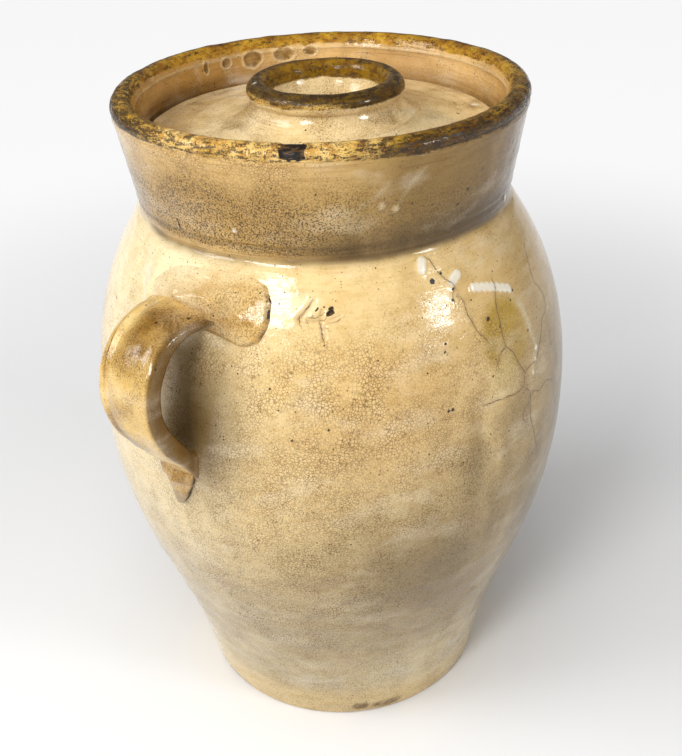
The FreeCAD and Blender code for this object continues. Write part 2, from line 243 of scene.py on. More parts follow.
def outside_outline():
    """From the middle of the underside, up the outside and over the lip."""
    foot_start = (BASE_RADIUS + 0.3, BASE_EDGE)
    fine = SHOULDER[:, 1] > 286.0
    lower_part = np.concatenate([SHOULDER[~fine], SHOULDER[fine][:1]])
    upper_part = SHOULDER[fine][:-2]
    fillet = cubic(upper_part[-1], (NECK_RADIUS + 0.3, NECK_HEIGHT - 0.6),
                   (NECK_RADIUS + 0.1, NECK_HEIGHT + 0.4), (NECK_RADIUS + 0.45, NECK_HEIGHT + 2.6))
    return chain(
        ([(0.5, 0.0), (BASE_RADIUS - BASE_EDGE, 0.0)], 14.0),
        (arc((BASE_RADIUS - BASE_EDGE + 0.3, BASE_EDGE), BASE_EDGE, -90.0, 0.0), 0.9),
        ([foot_start, (FOOT_RADIUS, FOOT_HEIGHT)], 2.6),
        (LOWER_BODY, 3.8),
        (lower_part, 3.0),
        (upper_part, 1.35),
        (fillet, 0.9),
        ([fillet[-1], (LIP_RADIUS, LIP_HEIGHT)], 1.35),
        (arc((LIP_MIDDLE, LIP_HEIGHT), LIP_THICKNESS / 2, 0.0, 135.0), 1.1))


def gallery_outline():
    """From the lip's inner shoulder down the gallery to the ledge's inner edge."""
    return chain(
        (arc((LIP_MIDDLE, LIP_HEIGHT), LIP_THICKNESS / 2, 128.0, 180.0), 0.8),
        ([(LIP_INNER, LIP_HEIGHT), (GALLERY_RADIUS, LEDGE_HEIGHT)], 0.8),
        ([(GALLERY_RADIUS, LEDGE_HEIGHT), (THROAT_RADIUS, LEDGE_HEIGHT)], 2.5))


def inside_outline():
    """From the ledge's inner edge down the throat and the wall to the middle of the floor."""
    foot_wall = FOOT_RADIUS - WALL
    lean = math.tan(FOOT_LEAN)
    inner_belly = BELLY_RADIUS - WALL
    shoulder = cubic(
        (inner_belly, BELLY_HEIGHT), (inner_belly, BELLY_HEIGHT + BELLY_PULL_UP),
        (BELLY_RADIUS - SHOULDER_INSET - COLLAR_WALL, NECK_HEIGHT - SHOULDER_PULL_DOWN - WALL / 2),
        (THROAT_RADIUS, NECK_HEIGHT))
    lower = cubic(
        (foot_wall, FLOOR_THICKNESS + FLOOR_CORNER),
        (foot_wall + FOOT_PULL * lean, FOOT_HEIGHT + FOOT_PULL),
        (inner_belly, BELLY_HEIGHT - BELLY_PULL_DOWN), (inner_belly, BELLY_HEIGHT))
    corner = cubic(
        (foot_wall - FLOOR_CORNER, FLOOR_THICKNESS), (foot_wall - FLOOR_CORNER / 2, FLOOR_THICKNESS),
        (foot_wall, FLOOR_THICKNESS + FLOOR_CORNER / 2), (foot_wall, FLOOR_THICKNESS + FLOOR_CORNER))
    return chain(
        ([(THROAT_RADIUS, LEDGE_HEIGHT), (THROAT_RADIUS, NECK_HEIGHT)], 8.0),
        (shoulder[::-1], 8.0),
        (lower[::-1], 9.0),
        (corner[::-1], 4.0),
        ([(foot_wall - FLOOR_CORNER, FLOOR_THICKNESS), (0.5, FLOOR_THICKNESS)], 10.0))


def lid_outline():
    """From the hole's lower edge out along the underside, over disc and ring, and down the cup."""
    base = LEDGE_HEIGHT
    disc = base + LID_THICKNESS
    tube = RING_THICKNESS / 2
    crest = RING_RADIUS - tube
    ring_height = disc + RING_RISE - tube
    neck_radius = RING_RADIUS - RING_OVERHANG
    neck = cubic((DOME_RADIUS, disc + DOME_RISE), (DOME_RADIUS - 5.5, disc + DOME_RISE + 1.8),
                 (neck_radius + 1.6, disc + DOME_RISE + 4.0), (neck_radius, ring_height - 4.0))
    dome = cubic((LID_RADIUS - 3.0, disc), (LID_RADIUS - 22.0, disc + 0.4),
                 (DOME_RADIUS + 16.0, disc + DOME_RISE - 1.0), (DOME_RADIUS, disc + DOME_RISE))
    start = math.degrees(math.asin(-4.0 / tube))
    inner_foot = (CUP_FLOOR_RADIUS + 0.5, disc + RING_RISE - CUP_DEPTH + 4.0)
    cup = cubic((crest - tube, ring_height), (crest - tube - 1.0, ring_height - 8.0),
                (CUP_FLOOR_RADIUS + 4.0, inner_foot[1] + 6.0), inner_foot)
    hole_top = disc + RING_RISE - CUP_DEPTH
    return chain(
        ([(DASHER_HOLE_RADIUS, base), (LID_RADIUS - 3.0, base)], 9.0),
        (arc((LID_RADIUS - 3.0, base + 3.0), 3.0, -90.0, 0.0), 1.2),
        ([(LID_RADIUS, base + 3.0), (LID_RADIUS, disc - 3.0)], 1.5),
        (arc((LID_RADIUS - 3.0, disc - 3.0), 3.0, 0.0, 90.0), 0.8),
        (dome, 1.2),
        (neck, 0.8),
        (arc((crest, ring_height), tube, start, 180.0), 0.7),
        (cup, 1.0),
        (cubic(inner_foot, (CUP_FLOOR_RADIUS - 0.5, hole_top + 1.0),
               (CUP_FLOOR_RADIUS - 2.0, hole_top), (CUP_FLOOR_RADIUS - 4.0, hole_top)), 1.0),
        ([(CUP_FLOOR_RADIUS - 4.0, hole_top), (DASHER_HOLE_RADIUS + 1.0, hole_top)], 1.0),
        (arc((DASHER_HOLE_RADIUS + 1.0, hole_top - 1.0), 1.0, 90.0, 180.0), 0.6),
        ([(DASHER_HOLE_RADIUS, hole_top - 1.0), (DASHER_HOLE_RADIUS, base)], 2.0))


# Meshes

def grid_mesh(name, points, close_start=False, close_end=False):
    """A mesh from a grid of points in millimetres: rows of points that each go once round."""
    rows, count = points.shape[:2]
    index = np.arange(rows * count).reshape(rows, count)
    below, above = index[:-1], index[1:]
    quads = np.stack([below, np.roll(below, -1, 1), np.roll(above, -1, 1), above], -1).reshape(-1, 4)
    faces = quads.tolist()
    if close_start:
        faces.append(index[0][::-1].tolist())
    if close_end:
        faces.append(index[-1].tolist())
    mesh = bpy.data.meshes.new(name)
    mesh.from_pydata((points.reshape(-1, 3) / 1000.0).tolist(), [], faces)
    mesh.update()
    mesh.shade_smooth()
    uv = np.zeros((len(mesh.loops), 2))
    where = np.arange(len(quads))
    for corner, (right, up) in enumerate(((0, 0), (1, 0), (1, 1), (0, 1))):
        uv[where * 4 + corner, 0] = (where % count + right) / count
        uv[where * 4 + corner, 1] = (where // count + up) / (rows - 1)
    mesh.uv_layers.new(name="UVMap").data.foreach_set("uv", uv.astype(np.float32).ravel())
    return mesh


def store(mesh, **fields):
    """Writes numbers and colours for each point, for the materials to read. What isn't given of the
    rim, the white and the dark marks lies far away."""
    count = len(mesh.vertices)
    for name, values in {"rim": FAR_OFF, "white": FAR_OFF, "dark": FAR_OFF, **fields}.items():
        if name in ("tint", "band"):
            flat = np.concatenate([values.reshape(-1, 3), np.ones((count, 1))], 1)
            layer, kind = mesh.attributes.new(name, "FLOAT_COLOR", "POINT"), "color"
        else:
            flat = np.broadcast_to(np.ravel(values), count)
            layer, kind = mesh.attributes.new(name, "FLOAT", "POINT"), "value"
        layer.data.foreach_set(kind, flat.astype(np.float32).ravel())


def add(name, data):
    """A new object in the scene."""
    item = bpy.data.objects.new(name, data)
    bpy.context.collection.objects.link(item)
    return item


def place(name, mesh, material, node, slot):
    """Makes a piece that stands for a CAD node."""
    piece = add(name, mesh)
    mesh.materials.append(material)
    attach(piece, "root")
    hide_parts(node)
    return piece


def linear(colour):
    """A tuple is a colour as seen, from 0 to 255, and is made linear. An array is linear already."""
    if not isinstance(colour, tuple):
        return colour
    value = np.array(colour) / 255.0
    return np.where(value <= 0.04045, value / 12.92, ((value + 0.055) / 1.055) ** 2.4)


def paint(base, *layers):
    """Base colour with (amount, colour) laid over it in turn."""
    base = linear(base)
    for amount, colour in layers:
        amount = np.clip(amount, 0.0, 1.0)[..., None]
        base = base * (1.0 - amount) + linear(colour) * amount
    return base


# The handle's line

def strap_spine(spacing=1.3):
    """Points of the strap's middle line as (distance from the axis, height)."""
    root = NECK_RADIUS - WALL
    bend_height = STRAP_TOP - UPPER_BEND
    upper = arc((REACH - UPPER_BEND, bend_height), UPPER_BEND, 90.0, 0.0)
    lower = arc((REACH - LOWER_BEND, bend_height), LOWER_BEND, 0.0, -math.degrees(LOWER_TURN))
    low = lower[-1]
    end = low + LOWER_RUN * np.array([-math.sin(LOWER_TURN), -math.cos(LOWER_TURN)])
    return chain(([(root, STRAP_TOP), tuple(upper[0])], spacing), (upper, spacing),
                 (lower, spacing), ([tuple(low), tuple(end)], spacing))


SPINE = strap_spine()
SPINE_RUN = walked(SPINE)
SPINE_OUT = -outline_normals(SPINE)


def strap_width(run):
    """Full width of the strap along its line."""
    whole = SPINE_RUN[-1]
    return np.interp(run, [0.0, 38.0, 60.0, 92.0, whole - 33.0, whole],
                     [UPPER_ROOT_WIDTH, 42.5, 38.5, STRAP_WIDTH, STRAP_WIDTH - 1.0, LOWER_ROOT_WIDTH])


def to_strap(points):
    """Distance from points to the strap's surface, and how far along it they are."""
    out = -points[..., 0]
    best = np.full(points.shape[:-1], 1e9)
    along = np.zeros(points.shape[:-1])
    for step in range(0, len(SPINE), 2):
        x, z = out - SPINE[step, 0], points[..., 2] - SPINE[step, 1]
        normal = SPINE_OUT[step]
        over = np.abs(x * normal[0] + z * normal[1])
        lengthwise = np.abs(x * normal[1] - z * normal[0])
        width = strap_width(SPINE_RUN[step]) / 2
        gap = np.sqrt(np.maximum(np.abs(points[..., 1]) - width + 5.0, 0) ** 2
                      + np.maximum(over - 2.0, 0) ** 2 + np.maximum(lengthwise - 1.5, 0) ** 2) - 5.0
        nearer = gap < best
        best = np.where(nearer, gap, best)
        along = np.where(nearer, SPINE_RUN[step], along)
    return best, along


def joint_swell(gap, along, above):
    """How far clay is drawn up where the strap meets the wall. It is drawn further but less steeply
    above the strap (above = 1), where the two meet at a blunt angle, than under it (above = -1)."""
    above = np.clip(above, -1.0, 1.0)
    reach = np.interp(along, [0.0, 60.0, 100.0, SPINE_RUN[-1]], [14.0, 12.0, 3.0, 2.5])
    reach = reach * (1.0 + np.maximum(above, 0.0))
    share = 0.48 - 0.08 * above
    return share * reach * np.clip(1.0 - np.maximum(gap, 0.0) / reach, 0.0, 1.0) ** 2


# Colours, as seen under even light

CREAM = (242, 224, 184)
BUFF = (234, 206, 150)
TAN = (218, 182, 122)
GREY = (182, 164, 126)
MAUVE = (172, 146, 116)
OLIVE = (150, 124, 74)
COLLAR_TAN = (198, 162, 96)


# The crock's outside

def nearest(points, spots):
    """For each (angle, height, radius): how far inside it a point is, with its middle on a vertex."""
    inside = np.full(points.shape[:-1], -50.0)
    flat = points.reshape(-1, 3)
    for angle, height, radius in spots:
        middle = flat[np.argmin(np.linalg.norm(flat - on_wall(angle, height), axis=-1))]
        inside = np.maximum(inside, radius - np.linalg.norm(points - middle, axis=-1))
    return inside


def from_path(points, path):
    """Distance to a path of (angle, height) on the wall, and the side."""
    return to_line(points, np.array([on_wall(angle, height) for angle, height in path]))


def marks_on_wall(points):
    """Distances in millimetres to what is drawn, run or cracked on the wall. Places are pairs of
    the angle off the front in degrees and the height in millimetres."""
    fields = {}
    cracks = [
        [(27.5, 332), (31, 321.5), (33, 317), (34, 310), (34.3, 303), (34.8, 298), (36, 293),
         (37.5, 289)],
        [(45, 313), (44.4, 307), (43.5, 301), (42.8, 294), (42.7, 288), (43, 280.5), (45.2, 276),
         (45.8, 270.5), (47.8, 263), (48.6, 260)],
        [(48.6, 260), (47.7, 256), (48.3, 252), (50, 247.5), (50.1, 242), (49.6, 234), (52, 218),
         (54, 201)],
        [(48.3, 252), (47, 253.5), (45.8, 252.4), (40.5, 254), (35.5, 255.8)],
        [(66, 317), (64, 311), (62.4, 305), (62, 299), (63.6, 294), (65.2, 290), (64, 281.5),
         (60, 279), (57.4, 271), (54.4, 263), (50.8, 261.4), (48.6, 260)],
        [(33, 317), (31.5, 315), (31.3, 312.5)],
        [(50.1, 242), (47.2, 239), (46.0, 235), (47.4, 231)],
        [(43, 280.5), (40.5, 278.5), (39.4, 274)],
        [(50, 247.5), (54, 243), (58, 244), (61, 240)],
        [(-5.0, 320.4), (-6.2, 317.2), (-7.7, 314.3), (-7.3, 312.2)],
        [(-4.6, 314.6), (-3.4, 314.4), (-2.3, 315.4)],
        [(-0.2, 312.0), (1.3, 312.4), (2.2, 313.6)],
        [(-2.4, 311.0), (-2.1, 308.4), (-1.7, 305.0)],
    ]
    crack = np.full(points.shape[:-1], 50.0)
    for path in cracks:
        far, side = from_path(points, path)
        crack = np.where(far < np.abs(crack), far * side, crack)
    crack = crack + 0.9 * noise(points, 5.0, 6) * smooth(12.0, 4.0, np.abs(crack))
    fields["crack"] = crack
    fields["cracked"] = 1.0 - smooth(3.0, 5.0, np.abs(crack))

    white = np.full(points.shape[:-1], -50.0)
    for path, half in (([(25.3, 332.4), (24.7, 329.0)], 2.7), ([(32.1, 320.4), (34.4, 322.8)], 2.7)):
        white = np.maximum(white, half - from_path(points, path)[0])
    angle, height = angle_of(points), points[..., 2]
    worm = from_path(points, [(37.9, 314.6), (41.8, 312.6), (46.0, 309.4), (49.6, 306.2)])[0]
    white = np.maximum(white, 2.5 + 0.45 * np.cos((angle - 37.7) * 2.0 * math.pi / 1.7) - worm)
    beads = [(-24.3, 353.0, 1.4), (54.1, 268.0, 2.0), (53.2, 262.0, 1.6), (51.6, 257.0, 1.6),
             (65.0, 341.8, 2.4)]
    fields["white"] = np.maximum(white, nearest(points, beads))
    fields["bead"] = nearest(points, [(13.8, 366.8, 2.3), (17.7, 363.2, 2.3)])

    # A chalky tide mark round a glossier, yellower patch.
    tide = from_path(points, [(49.6, 305), (52.4, 293.5), (53.7, 278), (54.2, 269), (52, 262),
                              (50, 250)])[0]
    smear = from_path(points, [(38.4, 330), (39.9, 321), (42, 323), (44.4, 325)])[0]
    on_collar = from_path(points, [(15.5, 378), (13.0, 372), (8.0, 366), (1.0, 363)])[0]
    runs = from_path(points, [(17.7, 363), (21.5, 376), (25, 382)])[0]
    fields["chalk"] = np.clip(0.8 * bump(tide, 0.0, 2.2) + 0.45 * bump(smear, 0.0, 3.2)
                              + 0.4 * bump(on_collar, 0.0, 1.6) + 0.4 * bump(runs, 0.0, 1.4), 0, 1)

    spots = [(26.8, 323.2, 1.75), (39.6, 298.5, 1.5), (24.7, 260.7, 1.1), (26.0, 260.4, 1.2),
             (30.0, 325.1, 1.0), (31.8, 317.7, 1.0), (31.1, 312.5, 1.1), (42.7, 292.1, 1.0),
             (50.8, 304.2, 1.1), (48.9, 300.3, 0.9), (52.7, 280.7, 1.0), (25.7, 290.4, 0.9),
             (26.4, 293.7, 1.0), (37.4, 269.3, 0.9), (-3.2, 318.9, 0.7), (-3.4, 317.4, 0.6),
             (-1.2, 261.0, 1.0), (-9.0, 255.0, 1.0), (-14.0, 281.0, 0.9), (45.5, 371.5, 1.0),
             (40.2, 364.0, 1.1), (37.2, 357.0, 1.1), (61.0, 377.0, 1.3), (63.5, 370.5, 1.2)]
    scratch = from_path(points, [(-44.6, 351.6), (-44.2, 349.0), (-43.7, 346.4)])[0]
    ragged = 1.9 * noise(squeezed(points, 0.7), 2.4, 5)
    chip = np.minimum(np.minimum(angle + 10.4, -4.4 - angle) * 2.0 + ragged,
                      height - 393.0 + 1.3 * ragged)
    chip = np.where(height > 385, chip, -50.0)
    blots = from_path(points, [(-0.2, 317.9), (0.5, 318.6)])[0]
    more = from_path(points, [(-0.7, 315.6), (0.6, 316.6)])[0]
    blots = np.maximum(1.0 - blots, 1.2 - more)
    fields["dark"] = np.maximum(np.maximum(nearest(points, spots), 0.9 - scratch),
                                np.maximum(chip, blots))
    fields["chip"] = chip

    stroke = from_path(points, [(-3.9, 321.6), (-5.1, 318.4), (-6.7, 314.4)])[0]
    bar = from_path(points, [(-7.6, 313.4), (-5.3, 312.6), (-2.5, 312.5), (-0.2, 313.1),
                             (2.2, 314.6)])[0]
    upright = from_path(points, [(-2.0, 317.6), (-2.2, 315.0), (-2.1, 312.0), (-1.6, 305.6)])[0]
    fields["four"] = np.minimum(np.minimum(stroke, bar * 1.1), upright * 1.15)
    return fields


def off_back(angle):
    """Left and right differ, but fade into one another at the back, where the angle jumps."""
    return smooth(180.0, 120.0, np.abs(angle))


def wall_colour(points):
    """The soft colour of the glaze over the crock's outside, with a painted shadow beside the strap."""
    angle, height = angle_of(points), points[..., 2]
    broad = layered(points, 46.0, 3)
    streak = layered(squeezed(points, 0.28), 17.0, 8)
    patch = layered(points, 17.0, 12)
    lower = 1.0 - smooth(80.0, 225.0, height + 14.0 * broad)
    sided = off_back(angle)
    right = smooth(6.0, 50.0, angle + 9.0 * broad) * sided
    colour = paint(
        BUFF,
        (smooth(-8.0, -46.0, angle) * sided * 0.85, CREAM),
        (0.8 * bump(angle, 12.0, 26.0) * bump(height, 270.0, 44.0) + 0.22 * patch, TAN),
        (0.8 * lower, GREY),
        (0.55 * lower * smooth(0.0, 0.9, patch) * smooth(-70.0, -10.0, angle) * sided, MAUVE),
        (0.7 * right * smooth(300.0, 240.0, height) * smooth(-0.5, 0.5, streak + 0.2), OLIVE),
        (0.6 * right * smooth(240.0, 300.0, height), (206, 170, 110)),
        (0.6 * smooth(40.0, 60.0, angle) * smooth(100.0, 70.0, angle) * bump(height, 220.0, 110.0),
         (112, 90, 46)),
        (0.9 * smooth(10.0, 6.5, np.hypot(angle - 44.5, (height - 285.0) / 2.3)), (184, 152, 68)),
        (0.7 * smooth(6.0, 4.0, np.hypot(angle - 41.5, (height - 262.0) / 2.2)), (216, 190, 132)),
        (0.5 * bump(angle, 31.0, 3.5) * bump(height, 216.0, 26.0), (124, 104, 56)),
        # Painted shadow of the strap on the wall to its right, deepened by real dirt there.
        (0.9 * bump(angle, -30.5, 9.0) * bump(height, 256.0, 46.0), (84, 62, 26)),
        (0.85 * bump(angle, 22.0, 24.0) * bump(height, 150.0, 64.0), (124, 104, 66)),
        (0.6 * smooth(34.0, 20.0, height), (232, 204, 146)),
        (0.5 * bump(angle, 24.0, 24.0) * bump(height, 44.0, 22.0), (230, 214, 176)),
        (0.5 * bump(height, 42.0, 12.0) * smooth(-0.3, 0.6, patch), (218, 208, 182)))
    seam = bump(height, 337.4, 2.2) * 0.7 + bump(height, 344.4, 1.0) * 0.6
    collar = smooth(335.8, 339.0, height)
    olive_patch = bump(angle, 12.0, 9.0) * bump(height, 360.0, 11.0)
    blue_grey = bump(angle, 44.0, 12.0) * bump(height, 346.0, 10.0)
    on_collar = paint(
        COLLAR_TAN,
        (0.5 * smooth(372.0, 388.0, height) * smooth(16.0, -6.0, angle) * sided, (226, 190, 130)),
        (smooth(-40.0, -64.0, angle) * sided * 0.5, (214, 190, 150)),
        (0.6 * bump(angle, -31.0, 11.0) * smooth(366.0, 348.0, height), (232, 198, 136)),
        (smooth(0.0, 22.0, angle + 6.0 * broad) * smooth(110.0, 70.0, angle) * 0.85, (136, 106, 50)),
        (0.7 * olive_patch * smooth(-0.9, 0.2, patch), (150, 122, 52)),
        (0.5 * blue_grey, (124, 108, 78)),
        (0.75 * bump(angle, 66.0, 20.0), (104, 74, 30)),
        (0.85 * smooth(362.0, 342.0, height) * smooth(-18.0, 8.0, angle) * sided, (90, 68, 26)),
        (0.25 * smooth(0.1, 0.9, streak), (206, 170, 118)))
    back = smooth(95.0, 130.0, np.abs(angle))
    return paint(colour, (collar, on_collar), (seam * (0.8 + 0.4 * streak), (92, 68, 30)),
                 (0.3 * back * (1 - collar), BUFF))


def grit_on_wall(points):
    """Where fine dark sand-like grit clouds the glaze."""
    angle, height = angle_of(points), points[..., 2]
    streak = layered(squeezed(points, 0.45), 15.0, 14)
    collar = smooth(340.0, 343.0, height) * smooth(388.0, 362.0, height + 10.0 * streak)
    collar = collar * (0.5 + 0.75 * smooth(16.0, -14.0, angle + 8.0 * streak) * off_back(angle))
    body = 0.4 * smooth(310.0, 200.0, height) * smooth(-60.0, -20.0, angle) * off_back(angle)
    return np.clip(np.maximum(collar, body) + 0.25 * streak, 0.0, 1.0)


def rim_colours(points):
    """Colour of the brown rim and how sooty it is."""
    angle = angle_of(points)
    outward = (np.hypot(points[..., 0], points[..., 1]) - LIP_MIDDLE) / (LIP_THICKNESS / 2)
    outward = np.clip(outward, -1.0, 1.0)
    front_worn = smooth(-62.0, -40.0, angle) * smooth(22.0, 4.0, angle)
    dark_right = smooth(8.0, 26.0, angle) * smooth(100.0, 70.0, angle)
    back = smooth(80.0, 110.0, np.abs(angle))
    patch = layered(points, 10.0, 75)
    colour = paint(
        (190, 148, 36),
        (front_worn * (0.75 + 0.5 * patch), (236, 198, 122)),
        (dark_right * (0.8 - 0.35 * patch), (118, 86, 10)),
        (back * (0.45 - 0.6 * patch), (112, 72, 6)),
        (0.8 * smooth(0.4, 1.0, outward) * (1 - 0.9 * front_worn), (84, 56, 6)),
        (0.95 * back * smooth(-0.25, 0.3, outward), (44, 28, 2)),
        (0.5 * smooth(-0.2, -0.9, outward) * (1 - dark_right * 0.6), (206, 158, 60)))
    left = smooth(-30.0, -55.0, angle) * smooth(-125.0, -95.0, angle)
    soot = 0.45 + 0.3 * left - 0.3 * back + 0.25 * smooth(0.0, 0.6, outward) - 0.2 * front_worn
    return colour, np.clip(soot, 0.0, 1.0)


def wall_push(points, height):
    """How far the thrown surface stands off its plain outline, in millimetres."""
    level = height + 1.2 * noise(points, 160.0, 2) + 0.5 * noise(points, 60.0, 22)
    rings = 0.5 * noise(on_line(level), 4.2, 40) + 0.5 * noise(on_line(level), 1.9, 41)
    side = smooth(2.0, 8.0, height)
    push = side * (-0.5 + 0.42 * layered(points, 70.0, 1))
    push += side * (0.06 + 0.15 * smooth(300, 345, height)) * rings
    push += 0.35 * bump(level % 19.0, 9.5, 5.0) * smooth(200, 120, height) * side
    push -= 0.9 * bump(level, 344.4, 1.1) + 0.45 * bump(level, 391.0, 0.8)
    push += 0.35 * bump(level, 388.8, 1.0) + 0.3 * bump(level, 346.9, 1.5)
    push += smooth(387.0, 398.0, height) * (0.25 * layered(points, 9.0, 7) - 0.25)
    return push


def make_outside():
    """The crock's outside and the top of its lip."""
    points, normals, _, height = spun(outside_outline(), columns(428, fine=2.6))
    fields = marks_on_wall(points)
    push = wall_push(points, height)
    push -= 0.85 * np.exp(-(fields["four"] / 1.15) ** 2)
    push += 0.25 * bump(fields["four"], 2.4, 0.9)
    push += 0.8 * smooth(-1.0, 1.6, fields["white"])
    push += 0.25 * fields["chalk"] + 0.9 * smooth(-0.6, 1.4, fields["bead"])
    push -= 0.7 * smooth(-0.3, 1.0, fields["chip"])
    gap, along = to_strap(points)
    push += joint_swell(gap, along, (height - STRAP_TOP) / 18.0)
    points = points + push[..., None] * normals
    mesh = grid_mesh("CrockOutside", points, close_start=True)

    angle, level = angle_of(points), points[..., 2]
    colour = wall_colour(points)
    chalky = 0.75 * fields["chalk"] * (0.7 + 0.5 * layered(points, 6.0, 62))
    colour = paint(colour, (chalky, (226, 212, 180)),
                   (0.6 * bump(fields["bead"], -0.3, 0.7), (128, 100, 58)),
                   (0.7 * smooth(-0.2, 0.8, fields["bead"]), (222, 200, 156)))
    edge = 391.4 + 0.7 * layered(points, 14.0, 70) - 1.2 * smooth(10.0, 30.0, angle) * off_back(angle)
    band, soot = rim_colours(points)
    store(mesh, tint=colour, band=band, soot=soot, rim=np.clip(level - edge, -12, 12),
          crack=np.clip(fields["crack"], -8, 8), cracked=fields["cracked"],
          white=np.clip(fields["white"], -9, 9), dark=np.clip(fields["dark"], -9, 9),
          stain=foot_stain(points), craze=np.clip(crazing(points, angle, level), 0, 1),
          grit=grit_on_wall(points), drag=dragging(level),
          groove=np.clip(6.0 - fields["four"], 0, 6))
    return place("CrockOutside", mesh, CROCK_GLAZE, "crock", "crock_glaze")


def make_gallery():
    """The inside of the lip and the gallery that the lid sits in, with its pits and drips."""
    angles = columns(440, fine=3.2, middle=-155.0, spread=40.0)
    points, normals, radius, height = spun(gallery_outline(), angles)
    push = wall_push(points, height) * smooth(390.0, 396.0, height)
    chip = marks_on_wall(points)["chip"]
    push -= 0.7 * smooth(-0.3, 1.0, chip)
    wall = smooth(LEDGE_HEIGHT + 2.0, LEDGE_HEIGHT + 5.0, height)
    level = height + 0.5 * noise(points, 50.0, 23)
    push += wall * (0.5 * bump(level, 391.2, 0.6) - 0.3 * bump(level, 389.6, 0.8))
    push += wall * 0.16 * noise(on_line(level), 2.6, 44)
    pits = ((-136.9, 388.6, 2.0, 4.6), (-145.4, 388.4, 3.8, 3.2), (-155.6, 387.9, 6.8, 5.4),
            (-167.5, 388.6, 7.6, 4.8), (-177.0, 389.6, 5.0, 3.2))
    inside, ring = np.full(push.shape, FAR_OFF), np.zeros(push.shape)
    for angle, middle, half_width, half_height in pits:
        across = np.radians((angles - angle + 180.0) % 360.0 - 180.0) * radius
        far = np.hypot(across / half_width, (height - middle) / half_height)
        far = far * (1.0 + 0.1 * noise(points, 3.0, 47))
        inside = np.maximum(inside, (0.86 - far) * half_height)
        ring = np.maximum(ring, bump((far - 1.0) * half_height, 0.0, 0.6))
        push += wall * (0.55 * bump((far - 1.0) * half_height, 0.0, 0.6) - 0.7 * smooth(1.0, 0.5, far))
    points = points + push[..., None] * normals
    mesh = grid_mesh("CrockGallery", points)

    angle, level = angle_of(points), points[..., 2]
    broad, patch = layered(points, 26.0, 60), layered(squeezed(points, 0.5), 8.0, 63)
    # Painted light and shade: the base colour is the wall in shade, and the inside of the lip at the
    # back and right, which faces the lamps, is painted paler.
    painted_light = np.maximum(smooth(60.0, 140.0, angle), smooth(-150.0, -175.0, angle))
    colour = paint(
        (190, 146, 80),
        (painted_light, (228, 190, 130)),
        (0.45 * broad, (160, 118, 60)),
        (0.4 * smooth(0.2, 0.9, patch), (226, 200, 156)),
        # Painted shade: the gallery wall darkens low down, in the gap over the lid.
        (0.7 * smooth(386.0, 374.0, level), (132, 96, 46)),
        (0.8 * bump(level, 391.2, 0.7), (226, 200, 154)),
        (0.75 * ring, (228, 204, 160)))
    edge = (394.6 + 0.8 * layered(points, 9.0, 71) - 1.3 * smooth(100.0, 140.0, np.abs(angle))
            - 1.6 * smooth(0.4, 1.0, layered(points, 5.0, 72)) * smooth(90.0, 120.0, np.abs(angle)))
    band, soot = rim_colours(points)
    low = smooth(-0.9, 0.4, noise(points, 4.0, 48)) * (0.45 + 0.55 * smooth(390.0, 386.0, level))
    store(mesh, tint=colour, band=band, soot=soot, rim=np.clip(level - edge, -12, 12),
          dark=np.clip(chip, -9, 9), stain=smooth(-0.4, 0.8, inside) * (0.6 + 0.4 * low),
          grit=np.clip(0.2 + 0.3 * patch, 0, 1), drag=0.6, craze=0.1)
    return place("CrockGallery", mesh, CROCK_GLAZE, "crock", "crock_glaze")


def dragging(level):
    """Where a finger or rib has dragged fine level lines into the clay."""
    return np.clip(0.35 + 0.65 * bump(level, 341.0, 5.0) + 0.5 * bump(level, 388.0, 5.0)
                   - 0.3 * smooth(330.0, 300.0, level) + 0.15 * smooth(120.0, 40.0, level), 0.0, 1.0)


def foot_stain(points):
    """Rusty patches along the bottom edge."""
    angle, level = angle_of(points), points[..., 2]
    patch = layered(points, 5.0, 130)
    spots = np.maximum(smooth(1.15, 0.7, np.hypot((angle - 5.0) / 3.6, (level - 8.0) / 4.2)),
                       smooth(1.2, 0.6, np.hypot((angle - 15.5) / 6.5, (level - 6.5) / 4.0)))
    thin = 0.5 * smooth(6.0, 1.0, level) * smooth(-0.2, 0.8, layered(points, 18.0, 131))
    return np.clip(spots * smooth(-0.9, -0.2, patch) + thin, 0.0, 1.0)


def crazing(points, angle, height):
    """Where the net of fine cracks in the glaze has taken up dirt."""
    share = 0.75 * smooth(330.0, 285.0, height) * smooth(20.0, 90.0, height)
    share = share * (0.55 + 0.45 * smooth(60.0, 10.0, np.abs(angle + 12.0)))
    collar = 0.6 * smooth(338.0, 342.0, height) * smooth(10.0, -15.0, angle) * off_back(angle)
    return np.maximum(share, collar) + 0.22 * layered(points, 26.0, 90)


def make_inside():
    """The throat, the inner wall and the floor, under a plain glaze."""
    points = spun(inside_outline(), np.linspace(-180.0, 180.0, 144, endpoint=False))[0]
    mesh = grid_mesh("CrockInside", points, close_end=True)
    store(mesh, tint=paint(CREAM, (0.4 + 0.4 * layered(points, 40.0, 61), BUFF)), craze=0.15, grit=0.1)
    return place("CrockInside", mesh, CROCK_GLAZE, "crock", "crock_glaze")


# The handle

